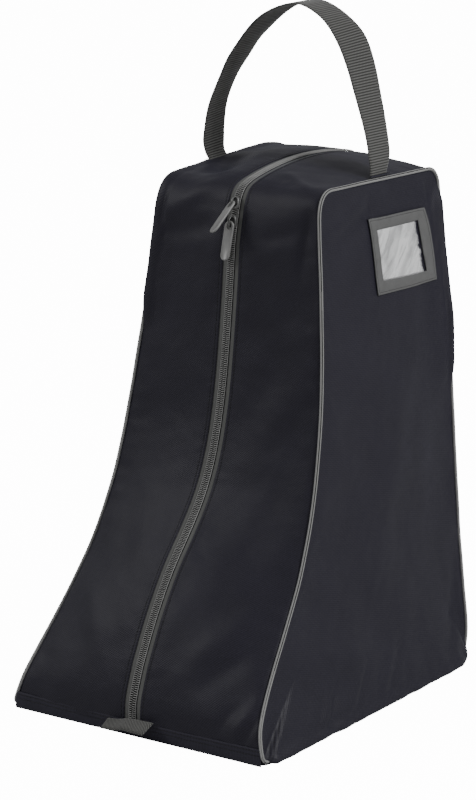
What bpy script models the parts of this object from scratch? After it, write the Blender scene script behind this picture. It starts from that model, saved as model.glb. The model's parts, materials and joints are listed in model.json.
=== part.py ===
"""Riding-boot bag: a boot-shaped case with a two-way zip, piped side panels,
a webbing grab handle and an ID window.

Metres, +Z up, the toe faces -Y, the ID window is on the +X side.
Every sewn piece is its own closed solid; neighbours keep a small sewing gap.
"""
from math import cos, exp, pi, radians, sin

import bmesh
import bpy
from mathutils import Matrix, Vector

for old in list(bpy.data.objects):
    bpy.data.objects.remove(old, do_unlink=True)

# ---------------------------------------------------------------- driving sizes
BODY_HEIGHT = 0.473      # base to the side seam along the top
TOE_Y = -0.177           # front of the base
HEEL_Y = 0.180           # back of the bag
TOP_HALF = 0.0865        # half width at the top seam
SIDE_TAPER = 0.0861      # half width gained per metre downward
TOE_FLARE = 0.0140       # extra half width at the foot of the toe
HEEL_FLARE = 0.006       # extra half width at the foot of the heel
FLARE_DEPTH = 0.055      # height over which the flare dies away
WAIST = 0.0022           # extra half width where the boot shafts fill the bag
WAIST_Z = 0.30
WAIST_REACH = 0.10

CLOTH = 0.002            # lined fabric thickness
GAP = 0.0003             # sewing gap between neighbouring pieces
PIPE_R = 0.0021          # piping radius
EDGE = PIPE_R + 0.0004   # a panel stops this far from the seam line
PIPE_FOOT = 0.0045       # height of the piping along the base
BAND_TOP = 0.0165        # top of the binding across the toe
SIDE_BULGE = 0.005       # outward belly of a side panel
BACK_BULGE = 0.005       # outward belly of the back panel

TAPE_IN = 0.0004         # zip tape, from the middle outward
TAPE_OUT = 0.0085
TAPE_DEPTH = 0.0010      # the tape lies this far below the cloth face
TAPE_THICK = 0.0008
COIL_OUT = 0.0036        # outer edge of one coil
COIL_PROUD = 0.0009      # the coil stands this far above the cloth face
ZIP_SLIT = 0.0088        # half width of the slot between the gusset halves
FLAP_GAP = 0.0009        # half the gap between front and top gussets

WEBBING = 0.038          # handle width
WEB_THICK = 0.0016
HANDLE_Y = 0.084         # middle of the handle along the bag
HANDLE_PIVOT_Z = 0.4760

# The webbing loop seen from the toe: (x, height over the pivot), from its left
# foot over the top to its right foot. The loop slumps a little to the left.
HANDLE_LOOP = (
    (-0.0832, 0.0028),
    (-0.0838, 0.0100),
    (-0.0935, 0.0200),
    (-0.1000, 0.0320),
    (-0.0950, 0.0540),
    (-0.0795, 0.0850),
    (-0.0585, 0.1160),
    (-0.0300, 0.1410),
    (0.0030, 0.1530),
    (0.0300, 0.1460),
    (0.0515, 0.1265),
    (0.0640, 0.1010),
    (0.0735, 0.0700),
    (0.0800, 0.0410),
    (0.0838, 0.0160),
    (0.0832, 0.0028),
)

# The front seam seen from the side: (height, y), from foot to top corner.
FRONT_SEAM = (
    (0.000, TOE_Y),
    (0.018, -0.1755),
    (0.036, -0.1690),
    (0.073, -0.1412),
    (0.114, -0.1083),
    (0.155, -0.0812),
    (0.207, -0.0583),
    (0.279, -0.0397),
    (0.362, -0.0276),
    (0.448, -0.0195),
)
CORNER_TOP = 0.448       # the top front corner starts here
CORNER_RUN = 0.0235      # and runs this far back
HEEL_CORNER = 0.018      # top back corner size
HEEL_FOOT = 0.014        # bottom back corner size
TOE_FOOT = 0.007         # bottom front corner size
SPLIT_AFTER = 0.0045     # the gussets part this far round the top front corner
TOE_TOP = 0.207          # height at which the toe gusset ends and the hinged one starts


# ---------------------------------------------------------------- shape helpers
def smooth(points, t):
    """Cubic through (t, value) points, with averaged slopes."""
    ts = [p[0] for p in points]
    vs = [p[1] for p in points]
    if t <= ts[0]:
        return vs[0]
    if t >= ts[-1]:
        return vs[-1]
    i = max(k for k in range(len(ts) - 1) if ts[k] <= t)

    def slope(k):
        a = max(k - 1, 0)
        b = min(k + 1, len(ts) - 1)
        return (vs[b] - vs[a]) / (ts[b] - ts[a])

    h = ts[i + 1] - ts[i]
    u = (t - ts[i]) / h
    u2 = u * u
    u3 = u2 * u
    return ((2 * u3 - 3 * u2 + 1) * vs[i] + (u3 - 2 * u2 + u) * h * slope(i)
            + (3 * u2 - 2 * u3) * vs[i + 1] + (u3 - u2) * h * slope(i + 1))


def half_width(y, z):
    """Half width of the bag at the seams."""
    along = (y - TOE_Y) / (HEEL_Y - TOE_Y)
    flare = TOE_FLARE + (HEEL_FLARE - TOE_FLARE) * along
    waist = WAIST * exp(-((z - WAIST_Z) / WAIST_REACH) ** 2)
    return TOP_HALF + SIDE_TAPER * (BODY_HEIGHT - z) + flare * exp(-z / FLARE_DEPTH) + waist


def bend(a, b, c, steps):
    """Quadratic corner from a to c that leans on b, without its first point."""
    out = []
    for k in range(1, steps + 1):
        t = k / steps
        out.append(tuple((1 - t) ** 2 * p + 2 * t * (1 - t) * q + t * t * r
                         for p, q, r in zip(a, b, c)))
    return out


class Path:
    """A (y, z) line that is walked by its length."""

    def __init__(self, points, closed=False):
        self.points = [Vector(p) for p in points]
        self.closed = closed
        if closed:
            self.points.append(self.points[0].copy())
        self.marks = [0.0]
        for a, b in zip(self.points, self.points[1:]):
            self.marks.append(self.marks[-1] + (b - a).length)
        self.length = self.marks[-1]

    def at(self, s):
        if self.closed:
            s = s % self.length
        s = min(max(s, 0.0), self.length)
        k = 0
        while k < len(self.points) - 2 and self.marks[k + 1] < s:
            k += 1
        part = (s - self.marks[k]) / (self.marks[k + 1] - self.marks[k])
        return self.points[k].lerp(self.points[k + 1], part)

    def outward(self, s):
        """Unit normal on the left of the walk."""
        reach = 0.003
        a = self.at(s - reach)
        b = self.at(s + reach)
        t = (b - a).normalized()
        return Vector((-t.y, t.x))


def spread(a, b, count):
    return [a + (b - a) * k / count for k in range(count + 1)]


# ---------------------------------------------------------------- the outline
top_z = BODY_HEIGHT
corner_start = (smooth(FRONT_SEAM, CORNER_TOP), CORNER_TOP)
corner_end = (corner_start[0] + CORNER_RUN, top_z)
corner_lean = (corner_start[0] + 0.003, top_z)

front_line = [(smooth(FRONT_SEAM, z), z) for z in spread(PIPE_FOOT + TOE_FOOT, CORNER_TOP, 60)]
top_corner = bend(corner_start, corner_lean, corner_end, 12)
top_line = [(y, top_z) for y in spread(corner_end[0], HEEL_Y - HEEL_CORNER, 24)[1:]]
heel_corner = bend(top_line[-1], (HEEL_Y, top_z), (HEEL_Y, top_z - HEEL_CORNER), 8)
back_line = [(HEEL_Y, z) for z in spread(top_z - HEEL_CORNER, PIPE_FOOT + HEEL_FOOT, 40)[1:]]
foot_back = bend(back_line[-1], (HEEL_Y, PIPE_FOOT), (HEEL_Y - HEEL_FOOT, PIPE_FOOT), 6)
base_line = [(y, PIPE_FOOT) for y in spread(HEEL_Y - HEEL_FOOT, TOE_Y + TOE_FOOT, 30)[1:]]
foot_front = bend(base_line[-1], (TOE_Y, PIPE_FOOT), front_line[0], 6)[:-1]

outline = Path(front_line + top_corner + top_line + heel_corner + back_line
               + foot_back + base_line + foot_front, closed=True)


def mark(count):
    """Length along the outline after so many points."""
    return outline.marks[count - 1]


AT_FOOT = 0.0
AT_CORNER = mark(len(front_line))
AT_TOP = mark(len(front_line + top_corner))
AT_HEEL = mark(len(front_line + top_corner + top_line))
AT_BACK = mark(len(front_line + top_corner + top_line + heel_corner))
AT_BACK_FOOT = mark(len(front_line + top_corner + top_line + heel_corner + back_line))
AT_BASE = mark(len(front_line + top_corner + top_line + heel_corner + back_line + foot_back))
AT_TOE = AT_BASE + (HEEL_Y - TOE_Y) - HEEL_FOOT - TOE_FOOT
SPLIT = AT_CORNER + SPLIT_AFTER
TOP_END = AT_BACK + 0.003             # the top gusset and its zip stop here

# Lengths at which the side panels and their piping are stepped, closer on corners.
STOPS = (spread(AT_FOOT, AT_CORNER, 22)[:-1] + spread(AT_CORNER, AT_TOP, 7)[:-1]
         + spread(AT_TOP, AT_HEEL, 7)[:-1] + spread(AT_HEEL, AT_BACK, 6)[:-1]
         + spread(AT_BACK, AT_BACK_FOOT, 10)[:-1] + spread(AT_BACK_FOOT, AT_BASE, 5)[:-1]
         + spread(AT_BASE, AT_TOE, 8)[:-1] + spread(AT_TOE, outline.length, 5)[:-1])


# Over the instep the front stands out most, where the boots' feet fill the bag,
# and along the top it is highest under the handle.
FRONT_CROWN = 0.006
INSTEP_CROWN = 0.023
INSTEP_Z = 0.118
INSTEP_REACH = 0.075
TOP_EDGE_CROWN = 0.0024
TOP_CROWN = 0.0100
TOP_CROWN_Y = 0.086
TOP_CROWN_REACH = 0.088


def crown(s):
    """How far the middle of the gusset stands out from its seams."""
    y, z = outline.at(s)
    if s < SPLIT:
        ease = min(1.0, (s + 0.010) / 0.06) * min(1.0, 0.4 + (SPLIT - s) / 0.05)
        return FRONT_CROWN * ease + INSTEP_CROWN * exp(-((z - INSTEP_Z) / INSTEP_REACH) ** 2)
    if s < AT_BACK:
        fade = 1 - max(0.0, (s - AT_HEEL) / (AT_BACK - AT_HEEL))
        hump = max(0.0, 1 - ((y - TOP_CROWN_Y) / TOP_CROWN_REACH) ** 2)
        return TOP_EDGE_CROWN * fade + TOP_CROWN * hump
    return BACK_BULGE * sin(pi * (s - AT_BACK) / (AT_BACK_FOOT - AT_BACK))


def gusset_point(s, x, depth):
    """Point of the gusset at outline length s, side x, below the cloth face."""
    y, z = outline.at(s)
    out = outline.outward(s)
    rise = crown(s) * (1 - (x / half_width(y, z)) ** 2) - depth
    return Vector((x, y + out.x * rise, z + out.y * rise))


# ---------------------------------------------------------------- mesh helpers
def material(name, colour, roughness, metallic=0.0):
    mat = bpy.data.materials.new(name)
    mat.use_nodes = True
    shader = mat.node_tree.nodes["Principled BSDF"]
    shader.inputs["Base Color"].default_value = (*colour, 1.0)
    shader.inputs["Roughness"].default_value = roughness
    shader.inputs["Metallic"].default_value = metallic
    return mat


def add_object(name, verts, faces, look, origin=(0, 0, 0), shade=True):
    """Object with its origin where asked; the points are world places."""
    centre = Vector(origin)
    mesh = bpy.data.meshes.new(name)
    mesh.from_pydata([Vector(v) - centre for v in verts], [], faces)
    bm = bmesh.new()
    bm.from_mesh(mesh)
    bmesh.ops.remove_doubles(bm, verts=bm.verts, dist=1e-7)
    bmesh.ops.triangulate(bm, faces=bm.faces)
    bmesh.ops.recalc_face_normals(bm, faces=bm.faces)
    bm.to_mesh(mesh)
    bm.free()
    for face in mesh.polygons:
        face.use_smooth = shade
    colour, roughness, metallic = look
    mesh.materials.append(material(name, colour, roughness, metallic))
    obj = bpy.data.objects.new(name, mesh)
    obj.location = centre
    bpy.context.scene.collection.objects.link(obj)
    return obj


def slab(rows_out, rows_in):
    """Closed solid between two grids of points of the same size."""
    n = len(rows_out)
    m = len(rows_out[0])
    verts = [p for row in rows_out for p in row] + [p for row in rows_in for p in row]
    under = n * m
    faces = []
    for i in range(n - 1):
        for j in range(m - 1):
            a, b = i * m + j, i * m + j + 1
            c, d = a + m, b + m
            faces.append((a, b, d, c))
            faces.append((under + a, under + c, under + d, under + b))
    rim = ([(0, j) for j in range(m)] + [(i, m - 1) for i in range(1, n)]
           + [(n - 1, j) for j in range(m - 2, -1, -1)] + [(i, 0) for i in range(n - 2, 0, -1)])
    for (i0, j0), (i1, j1) in zip(rim, rim[1:] + rim[:1]):
        a, b = i0 * m + j0, i1 * m + j1
        faces.append((a, under + a, under + b, b))
    return verts, faces


def sweep(sections, closed=False):
    """Closed solid through rings of points; the ends are capped unless closed."""
    m = len(sections[0])
    verts = [p for ring in sections for p in ring]
    faces = []
    count = len(sections)
    for i in range(count if closed else count - 1):
        k = (i + 1) % count
        for j in range(m):
            l = (j + 1) % m
            faces.append((i * m + j, i * m + l, k * m + l, k * m + j))
    if not closed:
        faces.append(tuple(range(m)))
        faces.append(tuple((count - 1) * m + j for j in reversed(range(m))))
    return verts, faces


CLOTH_LOOK = ((0.020, 0.020, 0.024), 0.72, 0.0)
BAND_LOOK = ((0.012, 0.012, 0.014), 0.70, 0.0)
PIPING_LOOK = ((0.27, 0.27, 0.26), 0.60, 0.0)
TAPE_LOOK = ((0.14, 0.14, 0.135), 0.80, 0.0)
COIL_LOOK = ((0.22, 0.22, 0.215), 0.40, 0.0)
SLIDER_LOOK = ((0.16, 0.16, 0.16), 0.38, 0.7)
PULLER_LOOK = ((0.25, 0.25, 0.25), 0.45, 0.3)
WEB_LOOK = ((0.105, 0.105, 0.098), 0.85, 0.0)
FRAME_LOOK = ((0.15, 0.15, 0.148), 0.60, 0.0)
PVC_LOOK = ((0.60, 0.60, 0.60), 0.12, 0.0)
CARD_LOOK = ((0.55, 0.55, 0.55), 0.50, 0.0)
BOARD_LOOK = ((0.05, 0.05, 0.05), 0.80, 0.0)


# ---------------------------------------------------------------- gusset halves
def gusset_slab(s_list, x_in, depth_out, depth_in, side, x_out=None, across=5):
    """Slab of the gusset on one side, from x_in out to the seam or to x_out."""
    outer, inner = [], []
    for s in s_list:
        y, z = outline.at(s)
        far = x_out if x_out is not None else half_width(y, z) - EDGE
        xs = spread(x_in, far, across)
        outer.append([gusset_point(s, side * x, depth_out) for x in xs])
        inner.append([gusset_point(s, side * x, depth_in) for x in xs])
    return slab(outer, inner)


def coil_bead(s_list, side):
    """Half round bead of zip coil that lies on its tape."""
    section = ((TAPE_IN, TAPE_DEPTH - GAP), (TAPE_IN, -COIL_PROUD + 0.0004),
               (0.0012, -COIL_PROUD), (0.0028, -COIL_PROUD),
               (COIL_OUT, -COIL_PROUD + 0.0006), (COIL_OUT, TAPE_DEPTH - GAP))
    return sweep([[gusset_point(s, side * x, d) for x, d in section] for s in s_list])


TOE_START = BAND_TOP + 0.0004 - (PIPE_FOOT + TOE_FOOT)     # just above the toe binding
TOE_END = next(at for at, (y, z) in zip(outline.marks, front_line) if z >= TOE_TOP)
toe_rows = spread(TOE_START, TOE_END - FLAP_GAP, 14)
front_rows = spread(TOE_END + FLAP_GAP, SPLIT - FLAP_GAP, 16)
top_rows = spread(SPLIT + FLAP_GAP, AT_HEEL, 15)[:-1] + spread(AT_HEEL, TOP_END, 7)
SIDES = (("left", -1), ("right", 1))

# Hinge lines of the gusset halves that open: straight chords along the sewn seams.
# The front one runs from here up to (0.0888, -0.0200, 0.4600).
FRONT_AXIS = Vector((0.1112, -0.0600, 0.2070))
TOP_AXIS = Vector((0.0868, 0.0700, BODY_HEIGHT + 0.0005))

for label, side in SIDES:
    for zone, rows, axis in (("toe", toe_rows, None), ("front", front_rows, FRONT_AXIS),
                             ("top", top_rows, TOP_AXIS)):
        origin = Vector((side * axis.x, axis.y, axis.z)) if axis else Vector((0, 0, 0))
        verts, faces = gusset_slab(rows, ZIP_SLIT, 0.0, CLOTH, side)
        add_object(zone + "_gusset_" + label, verts, faces, CLOTH_LOOK, origin)
        verts, faces = gusset_slab(rows, TAPE_IN, TAPE_DEPTH, TAPE_DEPTH + TAPE_THICK,
                                   side, x_out=TAPE_OUT, across=1)
        add_object(zone + "_zip_tape_" + label, verts, faces, TAPE_LOOK, origin)
        verts, faces = coil_bead(rows, side)
        add_object(zone + "_zip_coil_" + label, verts, faces, COIL_LOOK, origin)


# ---------------------------------------------------------------- back panel
back_rows = spread(TOP_END + 0.0006, AT_BACK_FOOT, 16)
outer, inner = [], []
for s in back_rows:
    y, z = outline.at(s)
    far = half_width(y, z) - EDGE
    outer.append([gusset_point(s, x, 0.0) for x in spread(-far, far, 8)])
    inner.append([gusset_point(s, x, CLOTH) for x in spread(-far, far, 8)])
verts, faces = slab(outer, inner)
add_object("back_panel", verts, faces, CLOTH_LOOK)


# ---------------------------------------------------------------- side panels
SIDE_CENTRE = Vector((0.055, 0.205))     # middle of a side panel, as (y, z)
SIDE_REACH_Y = 0.125      # from there to the seams, near the ID window
SIDE_REACH_Z = 0.268
RIM_STEPS = len(STOPS)
RINGS = (0.30, 0.58, 0.82, 1.0)


def side_surface(y, z, ring, depth):
    """x of a side panel's face, bellied between its seams."""
    return half_width(y, z) + SIDE_BULGE * (1 - ring ** 2) - depth


def side_panel(side):
    verts, faces = [], []
    for depth in (0.0, CLOTH):
        y, z = SIDE_CENTRE
        verts.append((side * side_surface(y, z, 0.0, depth), y, z))
        for ring in RINGS:
            for s in STOPS:
                rim = outline.at(s) - outline.outward(s) * EDGE
                y, z = SIDE_CENTRE.lerp(rim, ring)
                verts.append((side * side_surface(y, z, ring, depth), y, z))
    layer = 1 + RIM_STEPS * len(RINGS)
    for start in (0, layer):
        for k in range(RIM_STEPS):
            n = (k + 1) % RIM_STEPS
            faces.append((start, start + 1 + k, start + 1 + n))
            for r in range(len(RINGS) - 1):
                a = start + 1 + r * RIM_STEPS
                b = a + RIM_STEPS
                faces.append((a + k, b + k, b + n, a + n))
    edge = 1 + RIM_STEPS * (len(RINGS) - 1)
    for k in range(RIM_STEPS):
        n = (k + 1) % RIM_STEPS
        faces.append((edge + k, layer + edge + k, layer + edge + n, edge + n))
    return verts, faces


for label, side in SIDES:
    verts, faces = side_panel(side)
    add_object("side_panel_" + label, verts, faces, CLOTH_LOOK)


# ---------------------------------------------------------------- piping
PIPE_STEPS = len(STOPS)
PIPE_FACETS = 8


def piping(side):
    """Closed tube along the seam, square to its own run."""
    centres = []
    for s in STOPS:
        y, z = outline.at(s)
        centres.append(Vector((side * half_width(y, z), y, z)))
    rings = []
    for k, centre in enumerate(centres):
        run = (centres[(k + 1) % PIPE_STEPS] - centres[k - 1]).normalized()
        across = Vector((1, 0, 0)) - run * run.x
        across.normalize()
        up = run.cross(across)
        rings.append([centre + (across * cos(2 * pi * j / PIPE_FACETS)
                                + up * sin(2 * pi * j / PIPE_FACETS)) * PIPE_R
                      for j in range(PIPE_FACETS)])
    return sweep(rings, closed=True)


for label, side in SIDES:
    verts, faces = piping(side)
    add_object("piping_" + label, verts, faces, PIPING_LOOK)


# ---------------------------------------------------------------- base
def base_outline(inset):
    """Base plan with small rounded corners, as (x, y) points."""
    round_off = 0.012
    front = TOE_Y + inset
    back = HEEL_Y - inset
    w_front = half_width(TOE_Y, 0.0) - inset
    w_back = half_width(HEEL_Y, 0.0) - inset
    right = ([(w_front - round_off, front)]
             + bend((w_front - round_off, front), (w_front, front), (w_front, front + round_off), 3)
             + bend((w_back, back - round_off), (w_back, back), (w_back - round_off, back), 3))
    right.insert(4, (w_back, back - round_off))
    return right + [(-x, y) for x, y in reversed(right)]


def plate(points, low, high):
    return sweep([[(x, y, z) for x, y in points] for z in (low, high)])


BASE_THICK = 0.002
verts, faces = plate(base_outline(EDGE + 0.0004), 0.0, BASE_THICK)
add_object("base_panel", verts, faces, CLOTH_LOOK, shade=False)
verts, faces = plate(base_outline(0.006), BASE_THICK + GAP, BASE_THICK + GAP + 0.003)
add_object("base_board", verts, faces, BOARD_LOOK, shade=False)

band_rows = [(TOE_Y + 0.0004 * k, z) for k, z in enumerate(spread(0.0, BAND_TOP, 3))]
band_half = half_width(TOE_Y, 0.008) - 0.0045
outer, inner = [], []
for y, z in band_rows:
    xs = spread(-band_half, band_half, 8)
    ease = [0.004 * (1 - (x / band_half) ** 2) * z / BAND_TOP for x in xs]
    outer.append([(x, y - e, z) for x, e in zip(xs, ease)])
    inner.append([(x, y - e + CLOTH, z) for x, e in zip(xs, ease)])
verts, faces = slab(outer, inner)
add_object("toe_binding", verts, faces, BAND_LOOK)

# Folded webbing tabs that finish the two ends of the zip.
TAB_HALF = 0.0253
TAB_THICK = 0.0022


def tab(name, rows, half, lift):
    outer, inner = [], []
    for y, z, out in rows:
        xs = spread(-half, half, 4)
        outer.append([(x, y + out.x * (lift + TAB_THICK), z + out.y * (lift + TAB_THICK)) for x in xs])
        inner.append([(x, y + out.x * lift, z + out.y * lift) for x in xs])
    verts, faces = slab(outer, inner)
    add_object(name, verts, faces, WEB_LOOK)


# The front one sticks out over the binding like a lip, sloping down a little.
TAB_ROOT = Vector((TOE_Y - 0.0058, 0.0180))       # as (y, z)
TAB_TIP = Vector((TOE_Y - 0.0140, 0.0110))
tab_run = (TAB_TIP - TAB_ROOT).normalized()
tab_up = Vector((tab_run.y, -tab_run.x))
tab("zip_tab_front", [(*TAB_TIP.lerp(TAB_ROOT, t), tab_up) for t in spread(0, 1, 3)], TAB_HALF, 0.0)
heel_tab = []
for s in spread(TOP_END + 0.001, TOP_END + 0.016, 5):
    point = gusset_point(s, 0.0, 0.0)
    heel_tab.append((point.y, point.z, outline.outward(s)))
tab("zip_tab_back", heel_tab, 0.011, 0.0014)


# ---------------------------------------------------------------- handle
def loop_point(t):
    """Middle of the webbing, t from the left foot (0) over the top to the right one (1)."""
    last = len(HANDLE_LOOP) - 1
    x = smooth([(k / last, spot[0]) for k, spot in enumerate(HANDLE_LOOP)], t)
    z = smooth([(k / last, spot[1]) for k, spot in enumerate(HANDLE_LOOP)], t)
    return Vector((x, 0.0, HANDLE_PIVOT_Z + z))


GATHER_HALF = 0.0145      # the webbing is gathered to this half width low down
GATHER_RISE = 0.022       # and reaches its full width this far up
# Nearer the stitching its corners are folded under, which lets the loop lie over.
FOOT_MARKS = ((0.0, 0.0003), (0.0160, GATHER_HALF), (GATHER_RISE, WEBBING / 2))


def strap_half(height):
    """Half width of the webbing this high over the pivot."""
    for (low, narrow), (high, wide) in zip(FOOT_MARKS, FOOT_MARKS[1:]):
        if height < high:
            return narrow + (wide - narrow) * (height - low) / (high - low)
    return WEBBING / 2


STRAP_TIMES = spread(0.0, 0.06, 5)[:-1] + spread(0.06, 0.94, 40) + spread(0.94, 1.0, 5)[1:]
sections = []
for t in STRAP_TIMES:
    point = loop_point(t)
    run = (loop_point(min(t + 0.01, 1.0)) - loop_point(max(t - 0.01, 0.0))).normalized()
    outward = Vector((-run.z, 0, run.x)) * (WEB_THICK / 2)
    half = strap_half(point.z - HANDLE_PIVOT_Z)
    sections.append([point + outward * out + Vector((0, HANDLE_Y + across, 0))
                     for across, out in ((-half, -1), (-half, 1), (half, 1), (half, -1))])
verts, faces = sweep(sections)
add_object("handle", verts, faces, WEB_LOOK, (0, HANDLE_Y, HANDLE_PIVOT_Z))

# The stitched turnings outside the feet of the webbing, over the seams.
ANCHOR_HALF = 0.0165
ANCHOR_IN = 0.0846
ANCHOR_OUT = 0.0866
ANCHOR_LOW = 0.4757
ANCHOR_HIGH = 0.4770
for label, side in SIDES:
    corners = ((ANCHOR_IN, ANCHOR_LOW), (ANCHOR_OUT, ANCHOR_LOW), (ANCHOR_OUT, ANCHOR_HIGH - 0.0005),
               (ANCHOR_IN, ANCHOR_HIGH))
    verts, faces = sweep([[(side * x, y, z) for x, z in corners]
                          for y in spread(HANDLE_Y - ANCHOR_HALF, HANDLE_Y + ANCHOR_HALF, 4)])
    add_object("handle_anchor_" + label, verts, faces, WEB_LOOK, shade=False)


# ---------------------------------------------------------------- ID window
# Corners on the side panel as (y, z): front top, rear top, rear bottom, front bottom.
HOLDER = ((0.0552, 0.4402), (0.1451, 0.4395), (0.1619, 0.3708), (0.0578, 0.3718))
WINDOW = ((0.0666, 0.4294), (0.1372, 0.4290), (0.1455, 0.3813), (0.0681, 0.3838))


def holder_point(corners, u, v, lift, shrink=0.0):
    """Point over the right side panel at (u, v) of the four-cornered patch."""
    a, b, c, d = (Vector(p) for p in corners)
    middle = (a + b + c + d) / 4
    spot = a.lerp(b, u).lerp(d.lerp(c, u), v)
    spot += (middle - spot).normalized() * shrink if shrink else Vector((0, 0))
    rim = max(abs(spot.x - SIDE_CENTRE.x) / SIDE_REACH_Y, abs(spot.y - SIDE_CENTRE.y) / SIDE_REACH_Z)
    x = half_width(spot.x, spot.y) + SIDE_BULGE * (1 - min(rim, 1.0) ** 2) + lift
    return Vector((x, spot.x, spot.y))


def edge_walk(steps):
    """(u, v) once round the patch."""
    ts = [k / steps for k in range(steps)]
    return ([(t, 0.0) for t in ts] + [(1.0, t) for t in ts]
            + [(1.0 - t, 1.0) for t in ts] + [(0.0, 1.0 - t) for t in ts])


HOLDER_LIFT = 0.0009      # clear of the belly of the panel beneath
FRAME_THICK = 0.0014
walk = edge_walk(5)
rings = [[holder_point(HOLDER, u, v, HOLDER_LIFT) for u, v in walk],
         [holder_point(HOLDER, u, v, HOLDER_LIFT + FRAME_THICK) for u, v in walk],
         [holder_point(WINDOW, u, v, HOLDER_LIFT + FRAME_THICK) for u, v in walk],
         [holder_point(WINDOW, u, v, HOLDER_LIFT) for u, v in walk]]
verts, faces = sweep(rings, closed=True)
add_object("id_frame", verts, faces, FRAME_LOOK)

for name, low, high, look in (("id_card", 0.0, 0.0004, CARD_LOOK),
                              ("id_window", 0.0007, 0.0012, PVC_LOOK)):
    grids = []
    for lift in (high, low):
        grids.append([[holder_point(WINDOW, u, v, HOLDER_LIFT + lift, 0.0006)
                       for u in spread(0.02, 0.98, 5)] for v in spread(0.03, 0.97, 5)])
    verts, faces = slab(*grids)
    add_object(name, verts, faces, look)


# ---------------------------------------------------------------- zip sliders
SLIDER_LEN = 0.0125
SLIDER_HALF = 0.0048
SLIDER_SEAT = 0.0007      # clearance over the coil
SLIDER_THICK = 0.0024
BAIL_HEIGHT = 0.0046      # top of the bail over the slider body
BAIL_HALF = 0.0014
BAR_HEIGHT = 0.0020       # puller's cross bar over the slider body


def frame_at(s):
    """Seat of a slider: its middle on the coil, and the run of the zip."""
    seat = gusset_point(s, 0.0, -COIL_PROUD - SLIDER_SEAT)
    out = outline.outward(s)
    outward = Vector((0, out.x, out.y))
    along = Vector((0, -out.y, out.x)) * -1.0
    return seat, along, outward


def place(seat, along, outward, x, a, h):
    """World place of (x, along the zip, height over the seat)."""
    return seat + Vector((x, 0, 0)) + along * a + outward * h


def slider_meshes(seat, along, outward):
    """Bevelled slider body, and the arched bail that is joined on top of it."""
    half = SLIDER_LEN / 2
    bm = bmesh.new()

    def prism(profile, sections):
        rings = []
        for x in sections:
            rings.append([bm.verts.new(place(seat, along, outward, x, a, h)) for a, h in profile])
        m = len(profile)
        for ring, after in zip(rings, rings[1:]):
            for j in range(m):
                k = (j + 1) % m
                bm.faces.new((ring[j], ring[k], after[k], after[j]))
        bm.faces.new(rings[0])
        bm.faces.new(tuple(reversed(rings[-1])))

    top = SLIDER_THICK
    arch = top + BAIL_HEIGHT
    bar = 0.0011
    # Side profiles as (along the zip, height); the slot under the arch is open
    # at both sides, so that the puller's cross bar can pass through it.
    body = [(-half, 0.0), (half, 0.0), (half, top - 0.0008), (half - 0.0012, top),
            (-half + 0.0012, top), (-half, top - 0.0008)]
    bridge = [(-0.0045, top - 0.0005), (-0.0045, top + 0.0014), (-0.0030, arch - 0.0004),
              (-0.0016, arch), (0.0016, arch), (0.0030, arch - 0.0004), (0.0045, top + 0.0014),
              (0.0045, top - 0.0005), (0.0045 - bar, top - 0.0005), (0.0045 - bar, top + 0.0012),
              (0.0022, arch - bar - 0.0003), (0.0012, arch - bar), (-0.0012, arch - bar),
              (-0.0022, arch - bar - 0.0003), (-0.0045 + bar, top + 0.0012), (-0.0045 + bar, top - 0.0005)]
    prism(body, (-SLIDER_HALF, SLIDER_HALF))
    body_mesh = bpy.data.meshes.new("slider_body")
    bm.to_mesh(body_mesh)
    bm.clear()
    prism(bridge, (-BAIL_HALF, BAIL_HALF))
    bridge_mesh = bpy.data.meshes.new("slider_bridge")
    bm.to_mesh(bridge_mesh)
    bm.free()
    return body_mesh, bridge_mesh


def fix_normals(mesh):
    bm = bmesh.new()
    bm.from_mesh(mesh)
    bmesh.ops.recalc_face_normals(bm, faces=bm.faces)
    bm.to_mesh(mesh)
    bm.free()


def add_slider(name, s, pivot):
    """Slider body joined to its bail; the origin is the centre of its track."""
    body_mesh, bridge_mesh = slider_meshes(*frame_at(s))
    for mesh in (body_mesh, bridge_mesh):
        mesh.transform(Matrix.Translation(-pivot))
        fix_normals(mesh)
    body = bpy.data.objects.new(name, body_mesh)
    bridge = bpy.data.objects.new(name + "_bail_cutter", bridge_mesh)
    for obj in (body, bridge):
        obj.location = pivot
        bpy.context.scene.collection.objects.link(obj)
    bridge.hide_render = True
    bridge.display_type = "WIRE"
    body_mesh.materials.append(material(name, *SLIDER_LOOK))
    union = body.modifiers.new("bail", "BOOLEAN")
    union.operation = "UNION"
    union.solver = "EXACT"
    union.object = bridge


# ---------------------------------------------------------------- zip pullers
PULL_LEN = 0.036
PULL_HALF = 0.0050
PULL_THICK = 0.0020
PULL_HOLE_HALF = 0.0026
PULL_HOLE_LEN = 0.0052
PULL_BAR = 0.0015         # cross bar between the hole and the end


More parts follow.
